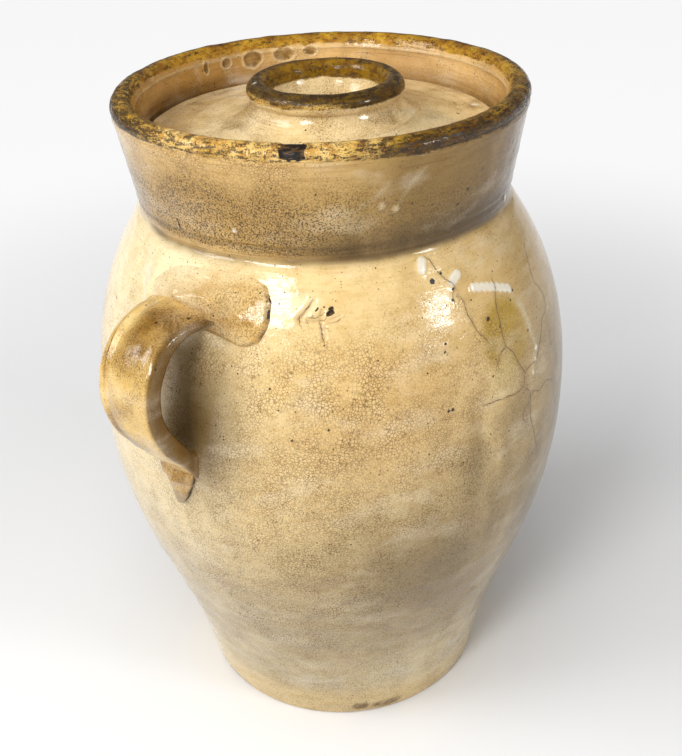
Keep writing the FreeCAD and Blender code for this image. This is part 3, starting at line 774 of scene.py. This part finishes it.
def make_strap():
    """The strap: crowned outside, flat towards the hand, with finger furrows along it."""
    turn = np.linspace(0.0, 2.0 * math.pi, 132, endpoint=False)
    run, whole = SPINE_RUN[:, None], SPINE_RUN[-1]
    width = strap_width(run)
    squareness = 2.3 + 4.1 * smooth(34.0, 78.0, run)
    across = np.sign(np.cos(turn)) * np.abs(np.cos(turn)) ** (2.0 / squareness)
    over = np.sign(np.sin(turn)) * np.abs(np.sin(turn)) ** (2.0 / (0.7 * squareness))
    flare = 11.0 * smooth(50.0, 12.0, run) * smooth(-0.3, 1.0, across)
    side = across * width / 2 + flare
    crown = 1.0 - 0.2 * across ** 2
    thick = np.interp(run, [0.0, 50.0, 90.0, whole - 30, whole], [15.0, 14.2, 13.6, 13.4, 12.0])
    out = over * thick / 2 * np.where(over > 0, crown, 1.0)
    share = (side - flare) / (width / 2)
    top = smooth(0.1, 0.8, over)
    # The furrow lies near the edge away from the front, and wanders a little.
    wander = 0.08 * np.sin(run / 23.0)
    fade = smooth(20.0, 45.0, run) * smooth(whole, whole - 22.0, run)
    furrow = bump(share, -0.50 + wander, 0.15) * 1.1 * fade
    second = bump(share, 0.30 - wander, 0.24) * 0.45 * fade
    out = out - top * (furrow + second)
    drift = np.interp(run, [0.0, 60.0, whole], [0.0, 0.0, -3.2])
    spine_x, spine_z = SPINE.T[..., None]
    out_x, out_z = SPINE_OUT.T[..., None]
    points = np.stack([-(spine_x + out * out_x), drift - side, spine_z + out * out_z], -1)
    normals = np.cross(np.roll(points, -1, 1) - np.roll(points, 1, 1), np.gradient(points, axis=0))
    normals /= np.maximum(np.linalg.norm(normals, axis=-1, keepdims=True), 1e-9)
    centre = np.stack([-spine_x, drift, spine_z], -1)
    normals *= np.sign(np.sum(normals * (points - centre), axis=-1, keepdims=True))
    gap = (np.hypot(points[..., 0], points[..., 1]) - wall_radius(points[..., 2])) * 0.9
    swell = joint_swell(gap, run, normals[..., 2] * 1.2) * (1.0 - 0.85 * smooth(75.0, 45.0, run))
    uneven = 0.45 * layered(points, 16.0, 101) - 0.5
    points = points + (swell + uneven)[..., None] * normals
    mesh = grid_mesh("Strap", points)

    wear = layered(points, 12.0, 103)
    golden = bump(run, 56.0, 24.0) * smooth(-0.7, 0.3, share) * top
    low = smooth(118.0, 150.0, run)
    lower_edge = smooth(130.0, 150.0, run) * smooth(-0.1, -0.8, share)
    streak = bump(share, -0.45 + wander, 0.22) * smooth(84.0, 108.0, run) * smooth(156.0, 138.0, run)
    # Painted shade: the strap's inner face and its right side face, which lie in shade, are painted
    # darker brown.
    painted_inner_shade = smooth(0.35, -0.3, over)
    painted_side_shade = smooth(0.78, 0.95, share) * smooth(0.97, 0.8, over)
    outer_stain = smooth(-0.6, -0.95, share) * bump(run, 118.0, 14.0)
    colour = paint(
        (224, 188, 112),
        (0.35 * smooth(0.1, 0.8, layered(squeezed(points, 0.4), 9.0, 105)), (240, 214, 156)),
        (0.85 * golden + 0.4 * wear * golden, (138, 98, 32)),
        (0.5 * smooth(60.0, 30.0, run) * smooth(-0.2, 0.6, share), (186, 144, 82)),
        (0.45 * bump(run, 86.0, 18.0) * top, (238, 204, 138)),
        (0.4 * smooth(-0.1, 0.9, wear), (180, 134, 66)),
        (0.6 * low, (206, 174, 128)),
        (0.6 * outer_stain * (0.7 + 0.5 * wear), (170, 112, 40)),
        (0.75 * streak * (0.7 + 0.5 * wear), (136, 94, 46)),
        (0.7 * lower_edge, (196, 168, 144)),
        (0.85 * painted_side_shade, (104, 74, 30)),
        (0.8 * painted_inner_shade, (116, 82, 36)))
    blend_in = smooth(12.0, 1.0, gap) * smooth(70.0, 40.0, run)
    colour = paint(colour, (0.85 * blend_in, wall_colour(points)))
    scratch = np.full(share.shape, 50.0)
    for path in ([(52.0, -0.72), (60.0, -0.74), (70.0, -0.70), (80.0, -0.66)],
                 [(50.0, 0.55), (53.0, 0.80), (52.0, 1.05)]):
        path = np.array(path)
        off = share - np.interp(run, *path.T)
        far = np.hypot(run - np.clip(run, path[0, 0], path[-1, 0]), off * width / 2)
        scratch = np.where(far < np.abs(scratch), far * np.sign(off), scratch)
    spots = np.full(share.shape, FAR_OFF)
    for at, off, half in ((50.0, 0.30, 1.1), (48.0, 0.02, 0.9), (52.0, -0.1, 0.8), (44.0, 0.45, 0.9),
                          (57.0, -0.72, 0.8), (110.0, -0.45, 0.9), (113.0, -0.40, 0.8),
                          (40.0, 0.75, 1.0)):
        far = np.hypot(run - at, (share - off) * width / 2)
        spots = np.maximum(spots, half - np.where(top > 0.2, far, 9.0))
    store(mesh, tint=colour, crack=np.clip(scratch, -8, 8),
          cracked=np.where(top > 0.2, 1.0 - smooth(3.0, 5.0, np.abs(scratch)), 0.0),
          dark=spots, stain=0.55 * golden * smooth(-0.2, 0.8, wear),
          craze=np.clip(0.35 + 0.3 * wear, 0, 1), groove=0.4 * fade * furrow * top,
          grit=np.clip(0.25 + 0.35 * wear + 0.35 * golden, 0, 1))
    return place("HandleStrap", mesh, CROCK_GLAZE, "crock", "crock_glaze")


def pressed_clay(centre, edge, thickness, lip, ragged, seed):
    """A lobe of clay smeared on the wall. The edge is a ring of points (across, up) in millimetres
    from the centre (across, height), and the lip is the height of the step at its edge."""
    edge = np.array(edge, float)
    closed = np.concatenate([edge, edge[:1]])
    run = walked(closed)
    at = np.linspace(0.0, run[-1], 168, endpoint=False)
    ring = np.stack([np.interp(at, run, closed[:, k]) for k in (0, 1)], 1)
    for _ in range(12):
        ring = 0.5 * ring + 0.25 * (np.roll(ring, 1, 0) + np.roll(ring, -1, 0))
    ring_lip = np.interp(at, run, list(lip) + [lip[0]])
    wobble = noise(np.stack([ring[:, 0], ring[:, 1], 0 * ring[:, 0]], 1), 4.0, seed)
    ring = ring * (1.0 + ragged * wobble)[:, None]
    share = np.concatenate([np.linspace(0.015, 0.86, 34), np.linspace(0.88, 1.0, 12)])[:, None]
    # Up the slope of the wall: heights come from the length climbed.
    length = walked(WALL_LINE)
    climbed = np.interp(centre[1], WALL_LINE[:, 1], length) + ring[:, 1] * share
    (radius, height), (next_radius, next_height) = (
        [np.interp(at, length, WALL_LINE[:, k]) for k in (0, 1)] for at in (climbed, climbed + 1.0))
    angle = HANDLE + np.degrees((centre[0] + ring[:, 0] * share) / radius)
    base = around(angle, radius, height)
    normal = around(angle, next_height - height, radius - next_radius)
    blunt = smooth(0.15, 1.1, ring_lip)
    inner = thickness * (blunt * np.sqrt(np.maximum(1.0 - share ** 2.4, 0.0))
                         + (1.0 - blunt) * np.maximum(1.0 - share, 0.0) ** 1.3 * 0.9)
    inner = inner * (1.0 - 0.35 * blunt * share)
    step = ring_lip * (1.0 - smooth(0.93, 1.0, share) * 1.9)
    lift = inner + step - 0.35 - 0.5 * (1.0 - blunt) * smooth(0.8, 1.0, share)
    lift = lift + 0.5 * layered(base, 9.0, seed + 1) * smooth(1.0, 0.7, share)
    gap, along = to_strap(base)
    lift = lift + joint_swell(gap, along, (height - STRAP_TOP) / 18.0)
    return base + lift[..., None] * normal, share, ring_lip


def lobe_piece(name, points, share, ring_lip, colour, grit, open_edge=0.0):
    """Makes a lobe's piece, with painted shade in the crevice along its edge where the lip stands high.
    """
    mesh = grid_mesh(name, points, close_start=True)
    # Painted shade in the crevice under the lip.
    crevice_shade = bump(share, 0.972, 0.028) * smooth(0.6, 1.4, ring_lip)
    crevice_shade = crevice_shade * smooth(-0.1 - open_edge, 0.3 - open_edge, noise(points, 5.0, 260))
    store(mesh, tint=paint(colour, (crevice_shade, (60, 40, 22))),
          dark=np.where(crevice_shade > 0.5, 0.3, FAR_OFF), craze=0.3, grit=grit)
    return place(name, mesh, CROCK_GLAZE, "crock", "crock_glaze")


def make_roots():
    """The wide thumb-pressed lobe at the top of the strap and the smeared tail at its end."""
    edge = [(0, 17), (14, 18), (26, 19), (36, 18), (44, 13.5), (49, 6.5), (50, 0), (51.5, -8),
            (48.5, -16), (40, -19.5), (31, -17), (22, -14), (0, -14), (-12, -12), (-18, -10),
            (-20, -2), (-17, 8), (-10, 14), (-5, 16)]
    lip = [0.0, 0.0, 0.0, 0.2, 0.7, 1.1, 1.3, 1.3, 1.0, 0.7, 0.4, 0.1] + [0.0] * 7
    points, share, ring_lip = pressed_clay((0.0, 316.0), edge, 3.4, lip, 0.02, 201)
    spot = layered(points, 8.0, 210)
    across = (angle_of(points) - HANDLE) * math.radians(1.0) * 120.0
    golden = smooth(13.0, 0.0, to_strap(points)[0]) * smooth(-16.0, 4.0, across)
    tan_part = smooth(10.0, 26.0, across) * smooth(334.0, 322.0, points[..., 2])
    # Darker brown under the joint with the strap: painted shade, with some dirt in it.
    joint_shade_and_dirt = bump(across, 20.0, 10.0) * smooth(324.0, 312.0, points[..., 2])
    colour = paint(wall_colour(points),
                   (0.8 * golden * (0.8 + 0.4 * spot), (186, 146, 76)),
                   (tan_part * (0.6 + 0.4 * spot), (224, 184, 114)),
                   (joint_shade_and_dirt * (0.7 + 0.5 * spot), (146, 104, 46)),
                   (0.5 * smooth(0.1, 1.0, spot) * tan_part, (176, 130, 62)))
    lobe_piece("ThumbPressedRoot", points, share, ring_lip, colour, 0.1 + 0.4 * tan_part)

    edge = [(-13, 8), (-12, 1), (-10, -4), (-7, -9), (-4.0, -15), (-1.0, -20.5), (3.0, -18), (7.0, -13),
            (10.0, -6), (12.5, 0), (14, 6), (10, 11), (0, 12)]
    lip = [0.3, 0.4, 0.5, 0.6, 0.9, 1.5, 1.8, 2.0, 1.9, 1.8, 1.2, 0.3, 0.2]
    points, share, ring_lip = pressed_clay((2.5, 219.5), edge, 3.6, lip, 0.03, 231)
    down = smooth(213.0, 206.0, points[..., 2])
    spot = layered(points, 5.0, 240)
    colour = paint((204, 166, 104),
                   (0.6 * smooth(-0.1, 0.8, spot), (146, 110, 56)),
                   (0.8 * down, (158, 142, 112)))
    lobe_piece("SmearedTail", points, share, ring_lip, colour, 0.5 * (1 - down), open_edge=0.8)


# The lid

def make_lid():
    """The domed lid with its ring, which stands round the cup and the dasher's hole."""
    angles = columns(300, fine=1.3, spread=90.0)
    points, normals, radius, height = spun(lid_outline(), angles)
    disc = LEDGE_HEIGHT + LID_THICKNESS
    on_disc = (height > disc - 1.0) & (radius > 46.0)
    rings = noise(on_line(radius + 1.1 * angles / 90.0), 3.6, 300)
    ridge = bump(49.5 + 4.5 * smooth(70.0, 110.0, angles) - radius, 0.0, 1.6)
    ridge = ridge * smooth(30.0, 60.0, angles) * smooth(150.0, 120.0, angles)
    push = np.where(on_disc, 0.22 * rings + 0.3 * layered(points, 30.0, 301) - 0.2 + 0.9 * ridge, 0.0)
    on_ring = height > disc + DOME_RISE + 5.0
    push = push + np.where(on_ring, 0.25 * layered(points, 14.0, 303) - 0.3, 0.0)
    points = points + push[..., None] * normals
    # The ring was thrown a little off the middle of the lid, towards the right of the front.
    aside = np.clip((60.0 - radius) / 10.0, 0.0, 1.0) * smooth(disc - 6.0, disc + 6.0, height)
    points = points + 2.8 * aside[..., None] * around(90.0, 1.0, 0.0)
    mesh = grid_mesh("Lid", points)

    broad, patch = layered(points, 30.0, 310), layered(points, 11.0, 311)
    angle = angle_of(points)
    colour = paint((244, 220, 170),
                   (0.5 + 0.4 * broad, (234, 204, 148)),
                   (0.35 * smooth(0.0, 1.0, patch), (204, 168, 110)),
                   # Painted shadow of the lip over the lid's left edge.
                   (0.5 * bump(angle, -95.0, 50.0) * smooth(60.0, 84.0, radius), (170, 130, 74)),
                   (0.5 * smooth(60.0, 48.0, radius), (222, 198, 150)))
    ring_centre = RING_RADIUS - RING_THICKNESS / 2
    ring_height = disc + RING_RISE - RING_THICKNESS / 2
    outer_edge = ring_height - 0.6 + 0.9 * layered(points, 9.0, 320)
    inner_edge = ring_height - 3.0 + 0.8 * layered(points, 12.0, 321)
    rim = np.where(radius > ring_centre, height - outer_edge, height - inner_edge)
    rim = np.where(radius < 50.0, rim, FAR_OFF)
    # Pale gold streaks on the ring's outer side, to the front left: glaze worn thin there, with painted
    # highlight.
    wear_and_highlight = (smooth(-85.0, -60.0, angle) * smooth(25.0, 0.0, angle)
            * smooth(ring_height + 4.0, ring_height + 1.0, height)
            * smooth(ring_centre, ring_centre + 3.0, radius))
    inner = smooth(ring_centre, ring_centre - 4.0, radius)
    band = paint((100, 74, 8),
                 (0.9 * wear_and_highlight * (0.8 + 0.5 * patch), (234, 194, 108)),
                 (0.8 * inner * (0.8 + 0.5 * patch), (172, 130, 26)),
                 (0.4 * smooth(60.0, 130.0, np.abs(angle)), (126, 90, 10)))
    dark = np.full(angle.shape, FAR_OFF)
    for spot_angle, far_out, half in ((105.7, 80.6, 1.3), (90.3, 76.7, 1.4), (98.0, 78.0, 0.9),
                                      (-150.0, 88.0, 0.8), (150.0, 70.0, 0.7), (20.0, 62.0, 0.6)):
        off = squeezed(points - around(spot_angle, far_out, disc + 1.5), 0.3)
        dark = np.maximum(dark, half - np.linalg.norm(off, axis=-1))
    white = 2.6 - np.linalg.norm(squeezed(points - around(102.7, 91.2, disc), 0.3), axis=-1)
    # A painted highlight: a small white glint on top of the ring at the left.
    painted_glint = around(-78.0, RING_RADIUS - 5.0, ring_height + 5.6) + 2.8 * around(90.0, 1.0, 0.0)
    white = np.maximum(white, 1.4 - np.linalg.norm(points - painted_glint, axis=-1))
    store(mesh, tint=colour, rim=np.clip(rim, -9, 9), white=np.clip(white, -9, 9), dark=dark,
          stain=0.25 * smooth(0.3, 1.1, patch + broad), craze=np.clip(0.2 + 0.2 * broad, 0, 1),
          grit=np.clip(0.3187 + 0.35 * patch, 0, 1), band=band,
          soot=np.broadcast_to(0.6 - 0.3 * inner, angle.shape),
          drag=np.clip(0.3 + 0.5 * wear_and_highlight, 0, 1))
    return place("Lid", mesh, glaze("LidGlaze", seed=7.0), "lid", "lid_glaze")


# The glaze

class Number:
    """A socket that carries one number. Adding, subtracting and multiplying make the nodes for it."""

    def __init__(self, nodes, socket):
        self.nodes, self.socket = nodes, socket

    def __add__(self, other):
        return self.nodes.math("ADD", self, other)

    def __sub__(self, other):
        return self.nodes.math("SUBTRACT", self, other)

    def __mul__(self, other):
        return self.nodes.math("MULTIPLY", self, other)


class Nodes:
    """Short calls that add nodes to a material and return the output that matters."""

    def __init__(self, tree):
        self.tree = tree

    def link(self, value, socket):
        if isinstance(value, Number):
            value = value.socket
        if isinstance(value, bpy.types.NodeSocket):
            self.tree.links.new(value, socket)
        else:
            socket.default_value = value

    def add(self, kind, **settings):
        """A new node with its settings made."""
        node = self.tree.nodes.new("ShaderNode" + kind)
        for name, value in settings.items():
            setattr(node, name, value)
        return node

    def math(self, operation, a, b=0.0):
        node = self.add("Math", operation=operation)
        self.link(a, node.inputs[0])
        self.link(b, node.inputs[1])
        return Number(self, node.outputs[0])

    def vector(self, operation, a, b):
        node = self.add("VectorMath", operation=operation)
        self.link(a, node.inputs[0])
        self.link(b, node.inputs[1])
        return node.outputs[0]

    def step(self, value, low, high, to_low=0.0, to_high=1.0):
        node = self.add("MapRange", interpolation_type="SMOOTHSTEP")
        for socket, number in zip(node.inputs[:5], (value, low, high, to_low, to_high)):
            self.link(number, socket)
        return Number(self, node.outputs[0])

    def mix(self, factor, a, b, blend="MIX"):
        node = self.add("Mix", data_type="RGBA", blend_type=blend, clamp_factor=True)
        self.link(factor, node.inputs[0])
        for colour, socket in ((a, node.inputs[6]), (b, node.inputs[7])):
            self.link((*linear(colour), 1.0) if isinstance(colour, tuple) else colour, socket)
        return node.outputs[2]

    def noise(self, spot, size, detail=3.0, roughness=0.55):
        node = self.add("TexNoise")
        for name, value in (("Vector", spot), ("Scale", 1.0 / size), ("Detail", detail),
                            ("Roughness", roughness)):
            self.link(value, node.inputs[name])
        return Number(self, node.outputs["Fac"])

    def cells(self, spot, size, feature="F1"):
        node = self.add("TexVoronoi", feature=feature)
        self.link(spot, node.inputs["Vector"])
        self.link(1.0 / size, node.inputs["Scale"])
        return node

    def field(self, name):
        return Number(self, self.add("Attribute", attribute_name=name).outputs["Fac"])

    def colour(self, name):
        return self.add("Attribute", attribute_name=name).outputs["Color"]

    def grains(self, spot, size, channel, least, spread, low, high):
        """Dots in some of the cells, where a random number of the cell is over the least."""
        cell = self.cells(spot, size)
        pick = self.add("SeparateColor")
        self.link(cell.outputs["Color"], pick.inputs[0])
        radius = (Number(self, pick.outputs[channel]) - least) * spread
        return self.step(radius - Number(self, cell.outputs["Distance"]), low, high)


def material_of(name):
    """A new material, the calls that add nodes to it, and its main shader."""
    material = bpy.data.materials.new(name)
    material.use_nodes = True
    return material, Nodes(material.node_tree), material.node_tree.nodes["Principled BSDF"]


def glaze(name, seed):
    """Grey and buff glaze over stoneware: mottled, crazed, speckled with iron, brown at the rims.
    Sizes in it are millimetres."""
    material, n, shader = material_of(name)
    spot = n.vector("MULTIPLY", n.add("TexCoord").outputs["Object"], (1000.0, 1000.0, 1000.0))
    spot = n.vector("ADD", spot, (37.0 * seed, 11.0 * seed, 5.0 * seed))
    flat = n.vector("MULTIPLY", spot, (0.5, 0.5, 1.2))
    broad = n.noise(flat, 20.0, 3.0)
    middle = n.noise(flat, 5.5, 3.0)
    fine = n.noise(spot, 1.7, 3.0, 0.65)
    craze = n.field("craze")

    colour = n.colour("tint")
    colour = n.mix(n.step(middle, 0.42, 0.72) * 0.45, colour, (228, 216, 186), "MULTIPLY")
    colour = n.mix(n.step(broad, 0.5, 0.72) * 0.22, colour, (250, 238, 214))
    colour = n.mix(n.step(fine, 0.5, 0.72) * 0.3, colour, (214, 194, 150), "MULTIPLY")

    # Crazing: a net of hairline cracks that have taken up dirt, stronger in patches.
    wobble = n.vector("MULTIPLY", n.noise(spot, 2.0, 2.0), (0.7, 0.7, 0.7))
    net_spot = n.vector("ADD", spot, wobble)
    net = n.cells(net_spot, 1.65, "DISTANCE_TO_EDGE").outputs["Distance"]
    patches = n.step(n.noise(spot, 15.0, 3.0), 0.34, 0.62, 0.3, 1.0)
    net_line = n.step(net, 0.0, 0.13, 1.0, 0.0) * patches * craze
    net_halo = n.step(net, 0.02, 0.3, 1.0, 0.0) * patches * craze * 0.3
    colour = n.mix(net_halo, colour, (222, 200, 154), "MULTIPLY")
    colour = n.mix(net_line * 0.9, colour, (88, 60, 24))

    # Fine grit: sand-sized dark grains in the glaze, in clouds.
    grit = n.field("grit")
    grains = n.step(n.noise(spot, 0.85, 2.0, 0.6), 0.50, 0.58) * grit
    colour = n.mix(grit * 0.3, colour, (190, 172, 126), "MULTIPLY")
    colour = n.mix(grains * 0.85, colour, (66, 50, 20))
    pepper = n.grains(spot, 1.8, 1, 0.4, 0.36, -0.03, 0.04)
    colour = n.mix(pepper * 0.75, colour, (66, 44, 16))

    # Fine level lines dragged by the potter's fingers.
    level = n.vector("MULTIPLY", spot, (0.03, 0.03, 1.0))
    lines = n.noise(level, 1.1, 3.0, 0.6)
    dragged = n.step(lines, 0.52, 0.66) * n.field("drag")
    colour = n.mix(dragged * 0.4, colour, (186, 160, 122), "MULTIPLY")

    # Iron specks, in most cells none.
    speck = n.grains(spot, 3.6, 0, 0.68, 0.48, -0.02, 0.02)
    colour = n.mix(speck * 0.9, colour, (50, 32, 14))

    bump = n.noise(spot, 9.0, 2.0) * 0.35 + fine * 0.05
    bump = bump - net_line * 0.06 - speck * 0.12 - dragged * 0.09
    rough = n.step(n.noise(spot, 12.0, 2.0), 0.3, 0.8, 0.07, 0.17)

    # Rust, and the bottom of what is drawn in the clay.
    stain = n.field("stain") * n.step(middle, 0.3, 0.55, 0.45, 1.0)
    colour = n.mix(stain, colour, (108, 78, 28))
    groove = n.step(n.field("groove"), 4.7, 5.9)
    colour = n.mix(groove * 0.3, colour, (196, 156, 100))
    bump = bump - groove * 0.35

    # The brown band of the rims: ochre, umber and black in patches, worn at its edge.
    on_rim = n.step(n.field("rim") + (n.noise(spot, 2.2, 4.0, 0.7) - 0.5) * 2.6, -0.5, 0.8)
    faded = n.step(n.noise(spot, 5.0, 4.0, 0.7), 0.42, 0.62) * 0.7
    rim_colour = n.mix(faded, n.colour("band"), (196, 160, 80), "MULTIPLY")
    level = n.vector("MULTIPLY", spot, (0.22, 0.22, 1.0))
    soot = n.noise(spot, 0.8, 3.0, 0.7) * 0.5 + n.noise(level, 1.3, 3.0, 0.7) * 0.5
    soot = n.step(soot + n.field("soot") * 0.12, 0.54, 0.62)
    rim_colour = n.mix(soot * 0.88, rim_colour, (34, 20, 2))
    colour = n.mix(on_rim, colour, rim_colour)
    bump = bump - soot * on_rim * 0.14
    rough = rough + soot * on_rim * 0.25

    # White, cracked and dark marks, all with a ragged edge.
    ripple = (n.noise(spot, 1.3, 2.0) - 0.5) * 1.3
    pale = n.step(n.field("white") + ripple, -0.5, 1.1, 0.0, 0.92)
    colour = n.mix(pale, colour, (232, 224, 206))
    crack_at = n.math("ABSOLUTE", n.field("crack") + ripple * 0.9)
    cracked = n.field("cracked")
    halo = n.step(crack_at, 0.2, 2.2, 0.22, 0.0) * cracked
    colour = n.mix(halo, colour, (132, 98, 52))
    crack = n.step(crack_at, 0.08, 0.34, 0.85, 0.0) * cracked
    crack = crack * n.step(n.noise(spot, 5.0, 2.0), 0.3, 0.55, 0.45, 1.0)
    colour = n.mix(crack, colour, (74, 50, 28))
    bump = bump - crack * 0.25
    dark = n.step(n.field("dark") + ripple * 0.8, 0.0, 0.3)
    stripe = n.step(n.noise(level, 1.0, 2.0), 0.52, 0.62, 0.0, 0.6)
    colour = n.mix(dark, colour, n.mix(stripe, (22, 14, 6), (112, 76, 30)))
    rough = rough + dark * 0.3

    relief = n.add("Bump")
    for name, value in (("Strength", 1.0), ("Distance", 0.001), ("Height", bump)):
        n.link(value, relief.inputs[name])
    for name, value in (("Normal", relief.outputs[0]), ("Base Color", colour), ("Roughness", rough),
                        ("IOR", GLAZE_IOR)):
        n.link(value, shader.inputs[name])
    return material


# The studio

def floor_paint():
    """White paint, which further from the crock shows as plain white."""
    material, n, shader = material_of("FloorPaint")
    n.link((0.88, 0.885, 0.90, 1.0), shader.inputs["Base Color"])
    n.link(0.6, shader.inputs["Roughness"])
    # 1 for the rays that see or mirror the floor, 0 for those that light the crock.
    ray = n.add("LightPath").outputs
    mirrored = n.math("MAXIMUM", ray["Is Glossy Ray"], ray["Is Transmission Ray"])
    seen = n.math("MAXIMUM", ray["Is Camera Ray"], mirrored)
    far = n.add("VectorMath", operation="LENGTH")
    n.link(n.add("TexCoord").outputs["Object"], far.inputs[0])
    blend = n.add("MixShader")
    n.link(seen * n.step(far.outputs["Value"], 0.25, 1.1, 0.0, 0.9), blend.inputs[0])
    n.link(shader.outputs[0], blend.inputs[1])
    n.link(n.add("Emission").outputs[0], blend.inputs[2])
    n.link(blend.outputs[0], n.tree.nodes["Material Output"].inputs["Surface"])
    return material


def stand(item, turned, spot):
    """Turns an object by a matrix of three rows and moves it to the spot."""
    matrix = Matrix(turned.tolist()).to_4x4()
    matrix.translation = spot.tolist()
    item.matrix_world = matrix


def lamp(name, angle, rise, distance, width, height, power, colour=(1.0, 1.0, 1.0)):
    """A soft box at an angle off the front and a rise above level, in degrees, aimed at the crock."""
    data = bpy.data.lights.new(name, "AREA")
    data.shape = "RECTANGLE"
    data.size, data.size_y = width, height
    data.energy = power
    data.color = colour
    light = add(name, data)
    up = math.radians(rise)
    spot = LAMP_AIM + around(angle, distance * math.cos(up), distance * math.sin(up))
    back = (spot - LAMP_AIM) / np.linalg.norm(spot - LAMP_AIM)
    right = np.cross([0.0, 0.0, 1.0], back)
    right /= np.linalg.norm(right)
    stand(light, np.stack([right, np.cross(back, right), back], 1), spot)
    return light


def make_camera():
    """The camera: 0.57 m in front of the axis and 0.55 m up, looking 31 degrees down."""
    yaw, pitch, roll = CAMERA_YAW, CAMERA_PITCH, CAMERA_ROLL
    right = np.array([math.cos(yaw), math.sin(yaw), 0.0])
    ahead = np.array([-math.cos(pitch) * math.sin(yaw), math.cos(pitch) * math.cos(yaw),
                      -math.sin(pitch)])
    up = np.cross(right, ahead)
    right, up = (math.cos(roll) * right + math.sin(roll) * up,
                 math.cos(roll) * up - math.sin(roll) * right)
    turn = math.radians(FRONT)
    spin = np.array([[math.cos(turn), -math.sin(turn), 0.0], [math.sin(turn), math.cos(turn), 0.0],
                     [0.0, 0.0, 1.0]])
    data = bpy.data.cameras.new("Camera")
    data.lens, data.sensor_width, data.shift_x = CAMERA_LENS, SENSOR_WIDTH, CAMERA_SHIFT
    data.clip_start = 0.01
    camera = add("Camera", data)
    stand(camera, spin @ np.stack([right, up, -ahead], 1), spin @ CAMERA_SPOT)
    bpy.context.scene.camera = camera


def make_studio():
    """A white floor, a dim even room, two windows and two large soft lights."""
    scene = bpy.context.scene
    scene.view_settings.view_transform = "Standard"
    mesh = bpy.data.meshes.new("Floor")
    mesh.from_pydata([(-6, -6, 0), (6, -6, 0), (6, 6, 0), (-6, 6, 0)], [], [(0, 1, 2, 3)])
    mesh.materials.append(floor_paint())
    floor = add("Floor", mesh)

    scene.world = bpy.data.worlds.new("Room")
    scene.world.use_nodes = True
    background = scene.world.node_tree.nodes["Background"]
    background.inputs["Color"].default_value = (1.0, 0.99, 0.97, 1.0)
    background.inputs["Strength"].default_value = 0.2

    lamp("WindowLeft", -31.0, 31.0, 2.0, 0.54, 0.46, 17.0, (1.0, 0.99, 0.96))
    lamp("WindowRight", 57.5, 20.0, 2.0, 0.42, 0.26, 10.0)
    lamp("SoftLeft", -74.0, 36.0, 2.2, 0.9, 0.9, 19.0)
    lamp("SoftAbove", -20.0, 68.0, 1.9, 1.2, 1.2, 17.0).visible_glossy = False


CROCK_GLAZE = glaze("CrockGlaze", seed=1.0)
make_outside()
make_gallery()
make_inside()
make_strap()
make_roots()
make_lid()
make_studio()
make_camera()
